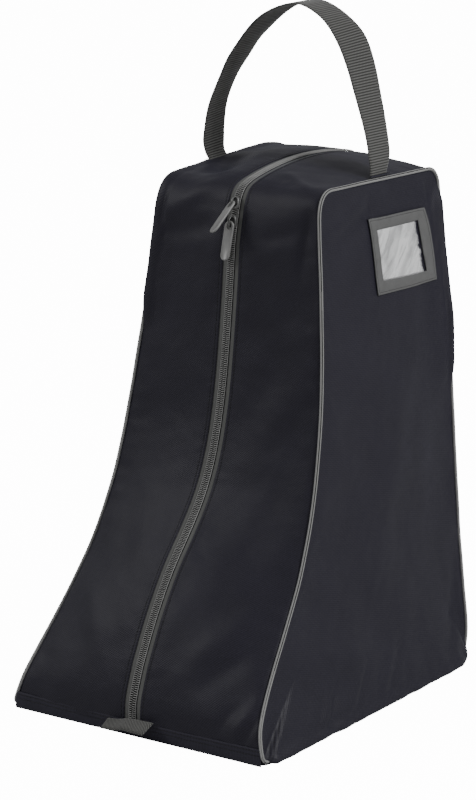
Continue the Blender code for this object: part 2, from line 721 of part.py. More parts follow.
def puller_solid(hinge, below):
    """Flat puller with a hole at its top, hanging this far below the horizontal."""
    down = Vector((0, -cos(below), -sin(below)))
    face = Vector((0, -sin(below), cos(below)))

    start = -PULL_BAR / 2
    hole_top = PULL_BAR / 2
    hole_end = hole_top + PULL_HOLE_LEN
    end = start + PULL_LEN
    # Matching outer and hole outlines with as many points each, as (x, run).
    outer = [(-0.0030, start), (0.0030, start), (PULL_HALF, start + 0.0022),
             (PULL_HALF, 0.010), (PULL_HALF, end - 0.0050), (0.0036, end - 0.0014),
             (0.0, end), (-0.0036, end - 0.0014), (-PULL_HALF, end - 0.0050),
             (-PULL_HALF, 0.010), (-PULL_HALF, start + 0.0022)]
    hole = [(-0.0018, hole_top), (0.0018, hole_top), (PULL_HOLE_HALF, hole_top + 0.0010),
            (PULL_HOLE_HALF, hole_end - 0.0014), (0.0016, hole_end - 0.0003),
            (0.0008, hole_end), (0.0, hole_end), (-0.0008, hole_end), (-0.0016, hole_end - 0.0003),
            (-PULL_HOLE_HALF, hole_end - 0.0014), (-PULL_HOLE_HALF, hole_top + 0.0010)]
    rings = []
    for points, height in ((outer, -PULL_THICK / 2), (outer, PULL_THICK / 2),
                           (hole, PULL_THICK / 2), (hole, -PULL_THICK / 2)):
        rings.append([hinge + Vector((x, 0, 0)) + down * run + face * height for x, run in points])
    verts, faces = sweep(rings, closed=True)
    return verts, faces


# ---------------------------------------------------------------- slider tracks
def track_centre(start, end, turn):
    """Centre of the arc that carries a slider from start to end in this turn."""
    middle = (start + end) / 2
    chord = end - start
    square = Vector((0, -chord.z, chord.y)).normalized()
    return middle + square * (chord.length / 2 / sin(turn / 2) * cos(turn / 2))


LOWER_AT = SPLIT - 0.0115
UPPER_AT = SPLIT + 0.0045
LOWER_STOP = 0.042        # lengths along the outline where the sliders stop
UPPER_STOP = AT_HEEL - 0.010
LOWER_TURN = radians(-14)     # about +X, as the slider runs to its stop
UPPER_TURN = radians(-46)
LOWER_HANG = radians(82)
UPPER_HANG = radians(32)

for name, s, stop, turn, hang in (("lower", LOWER_AT, LOWER_STOP, LOWER_TURN, LOWER_HANG),
                                  ("upper", UPPER_AT, UPPER_STOP, UPPER_TURN, UPPER_HANG)):
    seat, along, outward = frame_at(s)
    track = track_centre(seat, frame_at(stop)[0], turn)
    add_slider("slider_" + name, s, track)
    hinge = place(seat, along, outward, 0.0, 0.0, SLIDER_THICK + BAR_HEIGHT)
    verts, faces = puller_solid(hinge, hang)
    add_object("puller_" + name, verts, faces, PULLER_LOOK, hinge)
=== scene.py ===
"""Looks of the riding-boot bag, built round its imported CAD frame.

Metres, +Z up, the toe faces -Y, the ID window is on the +X side.
"""

import json
from bisect import bisect_right
from math import cos, exp, pi, radians, sin, sqrt
from typing import NamedTuple

import bmesh
import bpy
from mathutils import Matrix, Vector, noise


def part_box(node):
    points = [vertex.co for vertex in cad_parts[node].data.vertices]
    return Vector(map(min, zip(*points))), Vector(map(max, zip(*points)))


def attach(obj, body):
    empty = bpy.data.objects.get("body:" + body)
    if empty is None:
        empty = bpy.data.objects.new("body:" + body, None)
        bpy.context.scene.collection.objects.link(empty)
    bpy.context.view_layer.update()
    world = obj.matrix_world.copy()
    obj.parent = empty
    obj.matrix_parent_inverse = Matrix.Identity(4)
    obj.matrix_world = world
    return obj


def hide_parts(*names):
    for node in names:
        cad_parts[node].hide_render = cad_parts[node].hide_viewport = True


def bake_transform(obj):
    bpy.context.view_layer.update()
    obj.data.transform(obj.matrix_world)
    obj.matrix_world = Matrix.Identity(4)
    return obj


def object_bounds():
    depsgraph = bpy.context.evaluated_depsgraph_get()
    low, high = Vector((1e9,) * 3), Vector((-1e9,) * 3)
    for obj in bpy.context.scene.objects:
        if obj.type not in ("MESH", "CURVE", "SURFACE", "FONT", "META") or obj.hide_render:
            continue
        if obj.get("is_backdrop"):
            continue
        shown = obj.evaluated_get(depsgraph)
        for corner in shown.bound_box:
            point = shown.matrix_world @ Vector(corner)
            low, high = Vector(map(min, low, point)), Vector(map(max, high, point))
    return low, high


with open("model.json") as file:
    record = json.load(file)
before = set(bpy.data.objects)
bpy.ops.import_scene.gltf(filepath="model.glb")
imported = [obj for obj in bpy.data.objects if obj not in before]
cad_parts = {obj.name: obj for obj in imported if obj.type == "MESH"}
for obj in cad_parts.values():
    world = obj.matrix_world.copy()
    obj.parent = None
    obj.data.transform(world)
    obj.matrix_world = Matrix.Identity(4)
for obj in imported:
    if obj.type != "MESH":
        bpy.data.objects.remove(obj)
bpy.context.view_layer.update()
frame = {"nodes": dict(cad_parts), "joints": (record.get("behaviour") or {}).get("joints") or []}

# ---- driving sizes
TOE_Y = -0.177
HEEL_Y = 0.180
BODY_HEIGHT = 0.473
TOP_HALF = 0.0865
SIDE_TAPER = 0.0861
TOE_FLARE = 0.0140
HEEL_FLARE = 0.006
FLARE_DEPTH = 0.055
WAIST = 0.0022
WAIST_Z = 0.30
WAIST_REACH = 0.10
PIPE_R = 0.0021
PIPE_FOOT = 0.0045
BAND_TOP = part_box("toe_binding")[1].z
SIDE_BULGE = 0.005
BACK_BULGE = 0.005
SHEET = 0.0011            # shown thickness of the cloth

TAPE_DEPTH = 0.0011
COIL_PROUD = 0.0009
ZIP_SLIT = 0.0086

WEBBING = 0.038
WEB_THICK = 0.0015
HANDLE_Y = 0.084
HANDLE_PIVOT_Z = 0.4760

# The webbing loop seen from the toe: (x, height over the pivot), left foot to right foot.
HANDLE_LOOP = (
    (-0.0925, -0.0010), (-0.0985, 0.0050), (-0.1008, 0.0130), (-0.1008, 0.0270),
    (-0.0950, 0.0540), (-0.0795, 0.0850), (-0.0585, 0.1160), (-0.0300, 0.1410),
    (0.0030, 0.1530), (0.0285, 0.1455), (0.0500, 0.1262), (0.0636, 0.1010),
    (0.0735, 0.0700), (0.0800, 0.0410), (0.0838, 0.0160), (0.0832, 0.0012),
)

FRONT_SEAM = (
    (0.000, TOE_Y), (0.018, -0.1755), (0.036, -0.1690), (0.073, -0.1412),
    (0.114, -0.1083), (0.155, -0.0812), (0.207, -0.0583), (0.279, -0.0397),
    (0.362, -0.0276), (0.448, -0.0195),
)
CORNER_TOP = 0.448
CORNER_RUN = 0.0235
HEEL_CORNER = 0.018
HEEL_FOOT = 0.014
TOE_FOOT = 0.007
SPLIT_AFTER = 0.0045
SIDES = (("left", -1), ("right", 1))


# ---- shape helpers
def smooth(points, t):
    """Cubic through (t, value) points, with averaged slopes."""
    ts = [p[0] for p in points]
    vs = [p[1] for p in points]
    if t <= ts[0]:
        return vs[0]
    if t >= ts[-1]:
        return vs[-1]
    i = max(k for k in range(len(ts) - 1) if ts[k] <= t)

    def slope(k):
        a = max(k - 1, 0)
        b = min(k + 1, len(ts) - 1)
        return (vs[b] - vs[a]) / (ts[b] - ts[a])

    h = ts[i + 1] - ts[i]
    u = (t - ts[i]) / h
    u2 = u * u
    u3 = u2 * u
    return ((2 * u3 - 3 * u2 + 1) * vs[i] + (u3 - 2 * u2 + u) * h * slope(i)
            + (3 * u2 - 2 * u3) * vs[i + 1] + (u3 - u2) * h * slope(i + 1))


def half_width(y, z):
    along = (y - TOE_Y) / (HEEL_Y - TOE_Y)
    flare = TOE_FLARE + (HEEL_FLARE - TOE_FLARE) * along
    waist = WAIST * exp(-((z - WAIST_Z) / WAIST_REACH) ** 2)
    return TOP_HALF + SIDE_TAPER * (BODY_HEIGHT - z) + flare * exp(-max(z, 0.0) / FLARE_DEPTH) + waist


def bend(a, b, c, steps):
    out = []
    for k in range(1, steps + 1):
        t = k / steps
        out.append(tuple((1 - t) ** 2 * p + 2 * t * (1 - t) * q + t * t * r
                         for p, q, r in zip(a, b, c)))
    return out


def ease(t):
    """Smooth step from 0 to 1."""
    t = min(max(t, 0.0), 1.0)
    return t * t * (3 - 2 * t)


def spread(a, b, count):
    return [a + (b - a) * k / count for k in range(count + 1)]


def turned(a, b, degrees):
    """Two crossed directions, both turned from a towards b."""
    c, s = cos(radians(degrees)), sin(radians(degrees))
    return a * c + b * s, b * c - a * s


class Path:
    """A closed (y, z) line that is walked by its length."""

    def __init__(self, points):
        self.points = [Vector(p) for p in points]
        self.points.append(self.points[0].copy())
        self.marks = [0.0]
        for a, b in zip(self.points, self.points[1:]):
            self.marks.append(self.marks[-1] + (b - a).length)
        self.length = self.marks[-1]

    def at(self, s):
        s = s % self.length
        low = min(bisect_right(self.marks, s), len(self.marks) - 1) - 1
        part = (s - self.marks[low]) / (self.marks[low + 1] - self.marks[low])
        return self.points[low].lerp(self.points[low + 1], part)

    def outward(self, s, reach=0.003):
        t = (self.at(s + reach) - self.at(s - reach)).normalized()
        return Vector((-t.y, t.x))


corner_start = (smooth(FRONT_SEAM, CORNER_TOP), CORNER_TOP)
corner_end = (corner_start[0] + CORNER_RUN, BODY_HEIGHT)
corner_lean = (corner_start[0] + 0.003, BODY_HEIGHT)
front_line = [(smooth(FRONT_SEAM, z), z) for z in spread(PIPE_FOOT + TOE_FOOT, CORNER_TOP, 90)]
top_corner = bend(corner_start, corner_lean, corner_end, 24)
top_line = [(y, BODY_HEIGHT) for y in spread(corner_end[0], HEEL_Y - HEEL_CORNER, 24)[1:]]
heel_corner = bend(top_line[-1], (HEEL_Y, BODY_HEIGHT), (HEEL_Y, BODY_HEIGHT - HEEL_CORNER), 16)
back_line = [(HEEL_Y, z) for z in spread(BODY_HEIGHT - HEEL_CORNER, PIPE_FOOT + HEEL_FOOT, 40)[1:]]
foot_back = bend(back_line[-1], (HEEL_Y, PIPE_FOOT), (HEEL_Y - HEEL_FOOT, PIPE_FOOT), 12)
base_line = [(y, PIPE_FOOT) for y in spread(HEEL_Y - HEEL_FOOT, TOE_Y + TOE_FOOT, 30)[1:]]
foot_front = bend(base_line[-1], (TOE_Y, PIPE_FOOT), front_line[0], 12)[:-1]

parts = (front_line, top_corner, top_line, heel_corner, back_line, foot_back, base_line, foot_front)
outline = Path([p for part in parts for p in part])
ends = []
count = 0
for part in parts:
    count += len(part)
    ends.append(outline.marks[count - 1])
AT_CORNER, AT_TOP, AT_HEEL, AT_BACK, AT_BACK_FOOT, AT_BASE, AT_TOE, _ = ends
SPLIT = AT_CORNER + SPLIT_AFTER
TOP_END = AT_BACK + 0.003
LOWER_STOP = 0.042
UPPER_STOP = AT_HEEL - 0.010


FRONT_CROWN = 0.006
INSTEP_CROWN = 0.023
INSTEP_Z = 0.118
INSTEP_REACH = 0.075
TOP_EDGE_CROWN = 0.0024
TOP_CROWN = 0.0100
TOP_CROWN_Y = 0.086
TOP_CROWN_REACH = 0.088


def crown(s):
    """How far the middle of the gusset stands out from its seams."""
    y, z = outline.at(s)
    if s < SPLIT:
        rise = min(1.0, (s + 0.010) / 0.06) * min(1.0, 0.4 + (SPLIT - s) / 0.05)
        return FRONT_CROWN * rise + INSTEP_CROWN * exp(-((z - INSTEP_Z) / INSTEP_REACH) ** 2)
    if s < AT_BACK:
        fade = 1 - max(0.0, (s - AT_HEEL) / (AT_BACK - AT_HEEL))
        hump = max(0.0, 1 - ((y - TOP_CROWN_Y) / TOP_CROWN_REACH) ** 2)
        return TOP_EDGE_CROWN * fade + TOP_CROWN * hump
    return BACK_BULGE * sin(pi * min(1.0, (s - AT_BACK) / (AT_BACK_FOOT - AT_BACK)))


# Where the cloth is full it rolls over its piping and hides it: points of that roll
# as (distance past the seam, height), from the panel to its turned-under edge.
ROLL = ((-0.0095, 0.0018), (-0.0070, 0.0028), (-0.0050, 0.0034), (-0.0030, 0.0038),
        (-0.0010, 0.0038), (0.0007, 0.0034), (0.0018, 0.0026), (0.0023, 0.0016), (0.0021, 0.0006))


def roll_share(s, place):
    """How fully the cloth covers its piping: the left gusset, or the side panels' rims."""
    if place == "left_gusset":
        return ease((outline.at(s).y - 0.330) / 0.040) * ease((AT_BACK - 0.001 - s) / 0.030)
    if place == "side_rim":
        return ease((s - AT_BACK + 0.006) / 0.022) * ease((outline.at(s).y - 0.255) / 0.040)
    return 0.0


def seam_dip(d):
    """How far cloth dives beside the piping, d from the seam line."""
    return 0.0016 * exp(-(d / 0.0024) ** 2)


def soft_noise(u, v, size, seed):
    return noise.noise(Vector((u / size, v / size, seed)))


def waves(u, v, layers, seed=0.0):
    """Sum of soft waves, each given as (height, size, its own seed)."""
    return sum(height * soft_noise(u, v, size, own + seed) for height, size, own in layers)


def pucker(d):
    """How strongly cloth puckers, d from its seam."""
    return exp(-((d - 0.008) / 0.011) ** 2)


def fold(u, v, line):
    """Height of a soft ridge (or dent) that fades towards its ends."""
    u0, v0, u1, v1, width, height = line
    du, dv = u1 - u0, v1 - v0
    length2 = du * du + dv * dv
    t = ((u - u0) * du + (v - v0) * dv) / length2
    if t < -0.6 or t > 1.6:
        return 0.0
    across2 = (u - u0 - du * t) ** 2 + (v - v0 - dv * t) ** 2
    return height * exp(-across2 / width ** 2) * exp(-(abs(t - 0.5) / 0.62) ** 4)


# Folds of the gusset as (s, x, s, x, width, height), x signed.
GUSSET_FOLDS = (
    (0.452, 0.030, 0.470, 0.084, 0.009, -0.0012),
    (0.430, 0.074, 0.478, 0.078, 0.006, -0.0016),
    (0.505, 0.066, 0.530, 0.030, 0.006, 0.0012),
    (0.470, -0.078, 0.500, -0.030, 0.009, 0.0020),
    (0.452, -0.080, 0.462, -0.030, 0.010, -0.0018),
    (0.530, -0.050, 0.575, -0.062, 0.013, -0.0034),
    (0.560, -0.030, 0.610, -0.040, 0.012, 0.0016),
    (0.330, 0.050, 0.410, 0.066, 0.014, -0.0010),
    (0.250, 0.040, 0.330, 0.080, 0.016, 0.0010),
    (0.060, 0.050, 0.115, 0.090, 0.012, 0.0016),
    (0.045, 0.068, 0.090, 0.108, 0.010, -0.0015),
    (0.012, 0.090, 0.034, 0.104, 0.006, -0.0013),
    (0.008, 0.106, 0.046, 0.122, 0.006, 0.0014),
    (0.008, 0.118, 0.030, 0.128, 0.004, -0.0013),
    (0.060, -0.050, 0.120, -0.095, 0.014, 0.0016),
    (0.150, -0.060, 0.230, -0.080, 0.016, -0.0012),
)

# Folds of a side panel as (y, z, y, z, width, height).
SIDE_FOLDS = (
    (-0.150, 0.020, -0.120, 0.044, 0.010, 0.0009),
    (-0.158, 0.010, -0.132, 0.016, 0.006, -0.0010),
    (-0.110, 0.080, 0.030, 0.046, 0.018, 0.0020),
    (-0.060, 0.120, 0.060, 0.070, 0.022, -0.0016),
    (-0.096, 0.004, -0.072, 0.030, 0.005, 0.0012),
    (-0.086, 0.004, -0.060, 0.034, 0.004, -0.0012),
    (-0.056, 0.004, -0.022, 0.036, 0.005, 0.0013),
    (-0.040, 0.004, -0.008, 0.040, 0.004, -0.0012),
    (0.006, 0.006, 0.040, 0.046, 0.005, 0.0012),
    (0.022, 0.004, 0.056, 0.050, 0.004, -0.0011),
    (0.150, 0.030, 0.166, 0.090, 0.007, -0.0018),
    (0.140, 0.012, 0.160, 0.034, 0.007, 0.0014),
    (0.000, 0.438, 0.052, 0.460, 0.009, 0.0024),
    (0.058, 0.462, 0.064, 0.436, 0.004, -0.0014),
    (0.002, 0.420, 0.070, 0.452, 0.010, -0.0014),
    (0.146, 0.466, 0.160, 0.420, 0.006, 0.0022),
    (0.160, 0.456, 0.166, 0.410, 0.005, -0.0018),
    (0.020, 0.300, 0.120, 0.220, 0.030, 0.0018),
    (0.040, 0.140, 0.110, 0.330, 0.022, 0.0016),
)


# Waves of each cloth as (height, size, seed).
GUSSET_WAVES = ((0.0020, 0.075, 1.3), (0.0012, 0.032, 4.7), (0.00026, 0.012, 8.1))
BACK_WAVES = ((0.0016, 0.09, 11.0), (0.0007, 0.035, 12.0))
SIDE_WAVES = ((0.0026, 0.110, 0.0), (0.0014, 0.045, 1.0), (0.00025, 0.014, 2.0))
SIDE_SEED = {"left": 31.0, "right": 20.0}
BAND_WAVES = ((0.0006, 0.03, 61.0), (0.0003, 0.011, 62.0))
FOLD_GAIN = 1.3           # the gusset's folds are this much deeper than listed


def gusset_shape(s, x):
    """Outward offset of the gusset's face from a plain crowned strip."""
    y, z = outline.at(s)
    w = half_width(y, z)
    d = w - abs(x)
    inward = abs(x) - ZIP_SLIT
    calm = ease(inward / 0.012) * ease(d / 0.010)
    out = calm * waves(s, x, GUSSET_WAVES)
    for line in GUSSET_FOLDS:
        out += FOLD_GAIN * calm * fold(s, x, line)
    # Puckers along the zip stitching and along the piping seam.
    zip_pull = exp(-((inward - 0.006) / 0.008) ** 2)
    out += 0.00030 * zip_pull * soft_noise(s * 2.2, x * 0.5, 0.012, 2.0 + x)
    out += 0.00075 * pucker(d) * soft_noise(s * 1.6, x * 0.4, 0.019, 6.0)
    cover = roll_share(s, "left_gusset") if x < 0 and s < AT_BACK else 0.0
    out += cover * 0.0018 * exp(-(max(d - 0.0095, 0.0) / 0.012) ** 2)
    return out - seam_dip(d) * (1 - cover)


def strip_point(s, x, rise):
    """Point of a strip along the outline: its crown at x, and rise over that."""
    y, z = outline.at(s)
    out = outline.outward(s)
    rise += crown(s) * (1 - (x / half_width(y, z)) ** 2)
    return Vector((x, y + out.x * rise, z + out.y * rise))


def gusset_point(s, x, lift=0.0, shaped=True):
    return strip_point(s, x, lift + gusset_shape(s, x) if shaped else lift)


def gusset_normal(s):
    out = outline.outward(s)
    return Vector((0, out.x, out.y))


# ---- mesh helpers
# How the top stands askew, as height = RISE + ACROSS x + ALONG y + TWIST x y, with x and y
# from -1 to 1 over the top; the rear left corner is the highest.
TOP_RISE = 0.0028
TOP_ACROSS = -0.0012
TOP_ALONG = 0.0011
TOP_TWIST = -0.0033
SETTLE = 0.0045           # the rear left top corner has sunk by this much
SETTLE_AT = Vector((-0.087, 0.174, 0.474))
SETTLE_REACH = 0.024
LEFT_DRAW = 0.014         # the left half is narrower than the right by this share
HEEL_TUCK = 0.0045        # the two back bottom corners are rounded in by this much
HEEL_TUCK_REACH = 0.022
HEEL_HALF = 0.12
LEAN_PIVOT_Y = 0.080
LEAN_REACH_Y = 0.090
LEAN_LOW = 0.25           # the lean sets in above this height, in full LEAN_IN higher
LEAN_IN = 0.20
LEAN_HIGH = 0.490         # and it fades out above this one
LEAN_OUT = 0.060
INSIDE = Vector((0, 0.08, 0.25))      # a point well inside the bag


def leaned(point):
    """The bag's soft twist: its upper part leans a little across its diagonal."""
    x, y, z = point
    tuck = HEEL_TUCK * exp(-((y - HEEL_Y) ** 2 + z * z) / HEEL_TUCK_REACH ** 2)
    x *= 1 - tuck / HEEL_HALF
    y -= tuck
    if x < 0:
        x *= 1 - LEFT_DRAW
    share = ease((z - LEAN_LOW) / LEAN_IN) * (1 - ease((z - LEAN_HIGH) / LEAN_OUT))
    over = x / TOP_HALF
    back = min(max((y - LEAN_PIVOT_Y) / LEAN_REACH_Y, -1.1), 1.1)
    rise = TOP_RISE + TOP_ACROSS * over + TOP_ALONG * back + TOP_TWIST * over * back
    sunk = SETTLE * exp(-(Vector(point) - SETTLE_AT).length_squared / SETTLE_REACH ** 2)
    return Vector((x, y, z + share * rise - sunk))


def make(name, verts, faces, mats, uvs=None, mat_index=None, shade=True, lean=True):
    """Mesh object from world points; uvs are one (u, v) per vertex."""
    mesh = bpy.data.meshes.new(name)
    mesh.from_pydata([tuple(leaned(v) if lean else v) for v in verts], [], faces)
    for mat in mats:
        mesh.materials.append(mat)
    if uvs:
        layer = mesh.uv_layers.new(name="UVMap")
        for loop in mesh.loops:
            layer.data[loop.index].uv = uvs[loop.vertex_index]
    for k, face in enumerate(mesh.polygons):
        face.use_smooth = shade
        if mat_index:
            face.material_index = mat_index[k]
    mesh.update()
    obj = bpy.data.objects.new(name, mesh)
    bpy.context.scene.collection.objects.link(obj)
    return obj


def sheet(name, rows, uv_rows, mats, thickness):
    """Closed cloth sheet whose shading runs on across its two ends.

    The first and last rows are spare: they lie past the ends and only steer
    the shading, so that the next sheet carries on without a line.
    """
    rows = [[leaned(p) for p in row] for row in rows]
    m = len(rows[0])
    normals = []
    for before, row, after in zip(rows, rows[1:], rows[2:]):
        for j in range(m):
            across = row[min(j + 1, m - 1)] - row[max(j - 1, 0)]
            normals.append((after[j] - before[j]).cross(across).normalized())
    body = rows[1:-1]
    r = len(body)
    outer = flat(body)
    middle = r // 2 * m + m // 2
    sign = 1 if (outer[middle] - INSIDE).dot(normals[middle]) > 0 else -1
    normals = [k * sign for k in normals]
    inner = [p - k * thickness for p, k in zip(outer, normals)]
    count = len(outer)
    top = grid(body)
    under = [tuple(count + v for v in reversed(face)) for face in top]
    rim = ([(0, j) for j in range(m)] + [(i, m - 1) for i in range(1, r)]
           + [(r - 1, j) for j in range(m - 2, -1, -1)] + [(i, 0) for i in range(r - 2, 0, -1)])
    rim = [i * m + j for i, j in rim]
    edge = [(b, a, count + a, count + b) for a, b in zip(rim, rim[1:] + rim[:1])]
    faces = top + under + edge
    if sign > 0:
        faces = [tuple(reversed(face)) for face in faces]
    uvs = flat(uv_rows[1:-1])
    obj = make(name, outer + inner, faces, mats, uvs + uvs, lean=False)
    wanted = []
    for face in obj.data.polygons:
        face.use_smooth = face.index < len(top) + len(under)
        for v in face.vertices:
            if not face.use_smooth:
                wanted.append(Vector((0, 0, 0)))
            elif face.index < len(top):
                wanted.append(normals[v])
            else:
                wanted.append(-normals[v - count])
    obj.data.normals_split_custom_set(wanted)
    return obj


def grid(rows, wrap_rows=False, wrap_columns=False, start=0):
    """Faces of a grid of points, row by row."""
    n, m = len(rows), len(rows[0])
    faces = []
    for i in range(n if wrap_rows else n - 1):
        a, b = start + i * m, start + (i + 1) % n * m
        for j in range(m if wrap_columns else m - 1):
            l = (j + 1) % m
            faces.append((a + j, a + l, b + l, b + j))
    return faces


def flat(rows):
    return [p for row in rows for p in row]


def add_tube(verts, faces, rows):
    """Adds a tube through rings of points, with both its ends closed."""
    start, m = len(verts), len(rows[0])
    verts += flat(rows)
    faces += grid(rows, wrap_columns=True, start=start)
    faces.append(tuple(range(start, start + m)))
    faces.append(tuple(range(len(verts) - 1, len(verts) - 1 - m, -1)))


def around(count):
    """Angles of a ring's points."""
    return [2 * pi * j / count for j in range(count)]


def rework(obj, work):
    """Runs bmesh work on an object's mesh."""
    bm = bmesh.new()
    bm.from_mesh(obj.data)
    work(bm)
    bm.to_mesh(obj.data)
    bm.free()


def turn_out(obj):
    """Makes an open sheet's faces look away from the middle of the bag."""
    def work(bm):
        votes = sum((f.calc_center_median() - INSIDE).dot(f.normal) * f.calc_area() for f in bm.faces)
        if votes < 0:
            bmesh.ops.reverse_faces(bm, faces=bm.faces)
    rework(obj, work)


def fill_ends(bm):
    bmesh.ops.holes_fill(bm, edges=[e for e in bm.edges if e.is_boundary])


def face_outward(bm):
    bmesh.ops.recalc_face_normals(bm, faces=bm.faces)


def solid(*given, **more):
    """Closed piece, made as make() does, with its faces looking outward."""
    obj = make(*given, **more)
    rework(obj, face_outward)
    return obj


def thicken(obj, thickness):
    modifier = obj.modifiers.new("cloth", "SOLIDIFY")
    modifier.thickness = thickness
    modifier.offset = -1.0
    modifier.use_even_offset = False


def hang(obj, body, slot, *nodes):
    """Puts a piece on its body and hides the CAD nodes that it stands for; its slot is not used."""
    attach(obj, body)
    if nodes:
        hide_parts(*nodes)


# ---- materials
def node(tree, kind, values=None, **settings):
    made = tree.nodes.new(kind)
    for key, value in settings.items():
        setattr(made, key, value)
    for key, value in (values or {}).items():
        if isinstance(value, bpy.types.NodeSocket):
            tree.links.new(value, made.inputs[key])
        else:
            made.inputs[key].default_value = value
    return made


def calc(tree, operation, *values):
    """Output of a Math node on sockets or numbers."""
    return node(tree, "ShaderNodeMath", dict(enumerate(values)), operation=operation).outputs[0]


def clouds(tree, vector, scale, detail=2.0, **more):
    """Soft noise from 0 to 1."""
    values = {"Vector": vector, "Scale": scale, "Detail": detail, **more}
    return node(tree, "ShaderNodeTexNoise", values).outputs["Fac"]


def wave(tree, value, period):
    return calc(tree, "SINE", calc(tree, "MULTIPLY", value, 2 * pi / period))


def new_material(name, roughness, metallic=0.0, specular=0.5, sheen=0.0, sheen_tint=(1, 1, 1)):
    mat = bpy.data.materials.new(name)
    mat.use_nodes = True
    shader = mat.node_tree.nodes["Principled BSDF"]
    for key, value in (("Roughness", roughness), ("Metallic", metallic),
                       ("Specular IOR Level", specular), ("Sheen Weight", sheen),
                       ("Sheen Roughness", 0.4), ("Sheen Tint", (*sheen_tint, 1))):
        shader.inputs[key].default_value = value
    return mat, mat.node_tree, shader


def two_tone(tree, shader, dark, light, factor):
    ramp = node(tree, "ShaderNodeValToRGB", {"Fac": factor})
    for stop, colour in zip(ramp.color_ramp.elements, (dark, light)):
        stop.color = (*colour, 1)
    tree.links.new(ramp.outputs["Color"], shader.inputs["Base Color"])


def uneven_gloss(tree, shader, factor, least, swing):
    """Roughness from least to least + swing."""
    rough = calc(tree, "MULTIPLY_ADD", factor, swing, least)
    tree.links.new(rough, shader.inputs["Roughness"])


def bump(tree, shader, height, distance, strength, **under):
    values = {"Height": height, "Distance": distance, "Strength": strength, **under}
    made = node(tree, "ShaderNodeBump", values)
    tree.links.new(made.outputs["Normal"], shader.inputs["Normal"])


def coordinates(tree):
    """The two parts of the UV place, the place itself and the object's own coordinates."""
    coords = node(tree, "ShaderNodeTexCoord")
    split = node(tree, "ShaderNodeSeparateXYZ", {"Vector": coords.outputs["UV"]})
    return split.outputs["X"], split.outputs["Y"], coords.outputs["UV"], coords.outputs["Object"]


def woven(name, dark, light, pitch, roughness, depth, twill=True, specular=0.3, sheen=0.15,
          blotch=0.35):
    """Cloth with a fine diagonal weave over soft variation; UVs are in metres."""
    mat, tree, shader = new_material(name, roughness, specular=specular, sheen=sheen,
                                     sheen_tint=(0.75, 0.8, 1.0))
    u, v, uv, place = coordinates(tree)
    slope = -0.9 if twill else 0.0
    first = wave(tree, calc(tree, "MULTIPLY_ADD", v, slope, u), pitch)
    second = wave(tree, calc(tree, "MULTIPLY_ADD", u, -0.25 * slope, v), pitch * 0.8)
    weave = calc(tree, "MULTIPLY_ADD", first, 0.34, calc(tree, "MULTIPLY_ADD", second, 0.16, 0.5))
    grain = clouds(tree, uv, 620.0, Roughness=0.6)
    cloud = clouds(tree, place, 26.0, 3.0, Roughness=0.55)
    tone = calc(tree, "ADD", calc(tree, "MULTIPLY", weave, 0.35),
                calc(tree, "ADD", calc(tree, "MULTIPLY", grain, 0.65 - blotch),
                     calc(tree, "MULTIPLY", cloud, blotch)))
    two_tone(tree, shader, dark, light, tone)
    uneven_gloss(tree, shader, grain, roughness - 0.08, 0.16)
    lumps = node(tree, "ShaderNodeBump", {"Height": cloud, "Distance": 0.0022, "Strength": 0.35})
    height = calc(tree, "MULTIPLY_ADD", grain, 0.5, weave)
    bump(tree, shader, height, depth, 0.6, Normal=lumps.outputs["Normal"])
    return mat


def ribbed(name, dark, light, rib, thread, slant=0.0):
    """Webbing: ribs across its length, threads along it; v runs along, in metres. Its colour is its
    thread pattern plus painted shade in the rib grooves and painted highlight on the crests.
    """
    mat, tree, shader = new_material(name, 0.8, specular=0.25, sheen=0.25)
    u, v, uv, _ = coordinates(tree)
    lean = calc(tree, "MULTIPLY_ADD", u, slant, v)
    ribs = calc(tree, "ABSOLUTE", wave(tree, lean, 2 * rib))
    row = calc(tree, "FLOOR", calc(tree, "DIVIDE", lean, rib))
    shift = calc(tree, "MULTIPLY", calc(tree, "MODULO", row, 2.0), thread / 2)
    threads = calc(tree, "ABSOLUTE", wave(tree, calc(tree, "ADD", u, shift), 2 * thread))
    weave = calc(tree, "MULTIPLY", calc(tree, "POWER", ribs, 1.5),
                 calc(tree, "MULTIPLY_ADD", threads, 0.55, 0.45))
    fuzz = clouds(tree, uv, 1300.0)
    # Painted shade and highlight: the colour follows the rib height, dark in the grooves and light on the
    # crests.
    tone = calc(tree, "MULTIPLY_ADD", fuzz, 0.16, calc(tree, "MULTIPLY", weave, 0.95))
    two_tone(tree, shader, dark, light, tone)
    bump(tree, shader, weave, 0.0004, 0.9)
    return mat


def grained(name, dark, light, roughness, scale, depth, metallic=0.0, specular=0.5):
    """Moulded or coated surface with a fine pebble grain."""
    mat, tree, shader = new_material(name, roughness, metallic, specular)
    place = coordinates(tree)[-1]
    cells = node(tree, "ShaderNodeTexVoronoi", {"Vector": place, "Scale": scale}).outputs["Distance"]
    cloud = clouds(tree, place, scale * 0.12, 4.0)
    tone = calc(tree, "MULTIPLY_ADD", cells, 0.35, calc(tree, "MULTIPLY", cloud, 0.65))
    two_tone(tree, shader, dark, light, tone)
    uneven_gloss(tree, shader, cloud, roughness - 0.1, 0.2)
    bump(tree, shader, cells, depth, 0.5)
    return mat


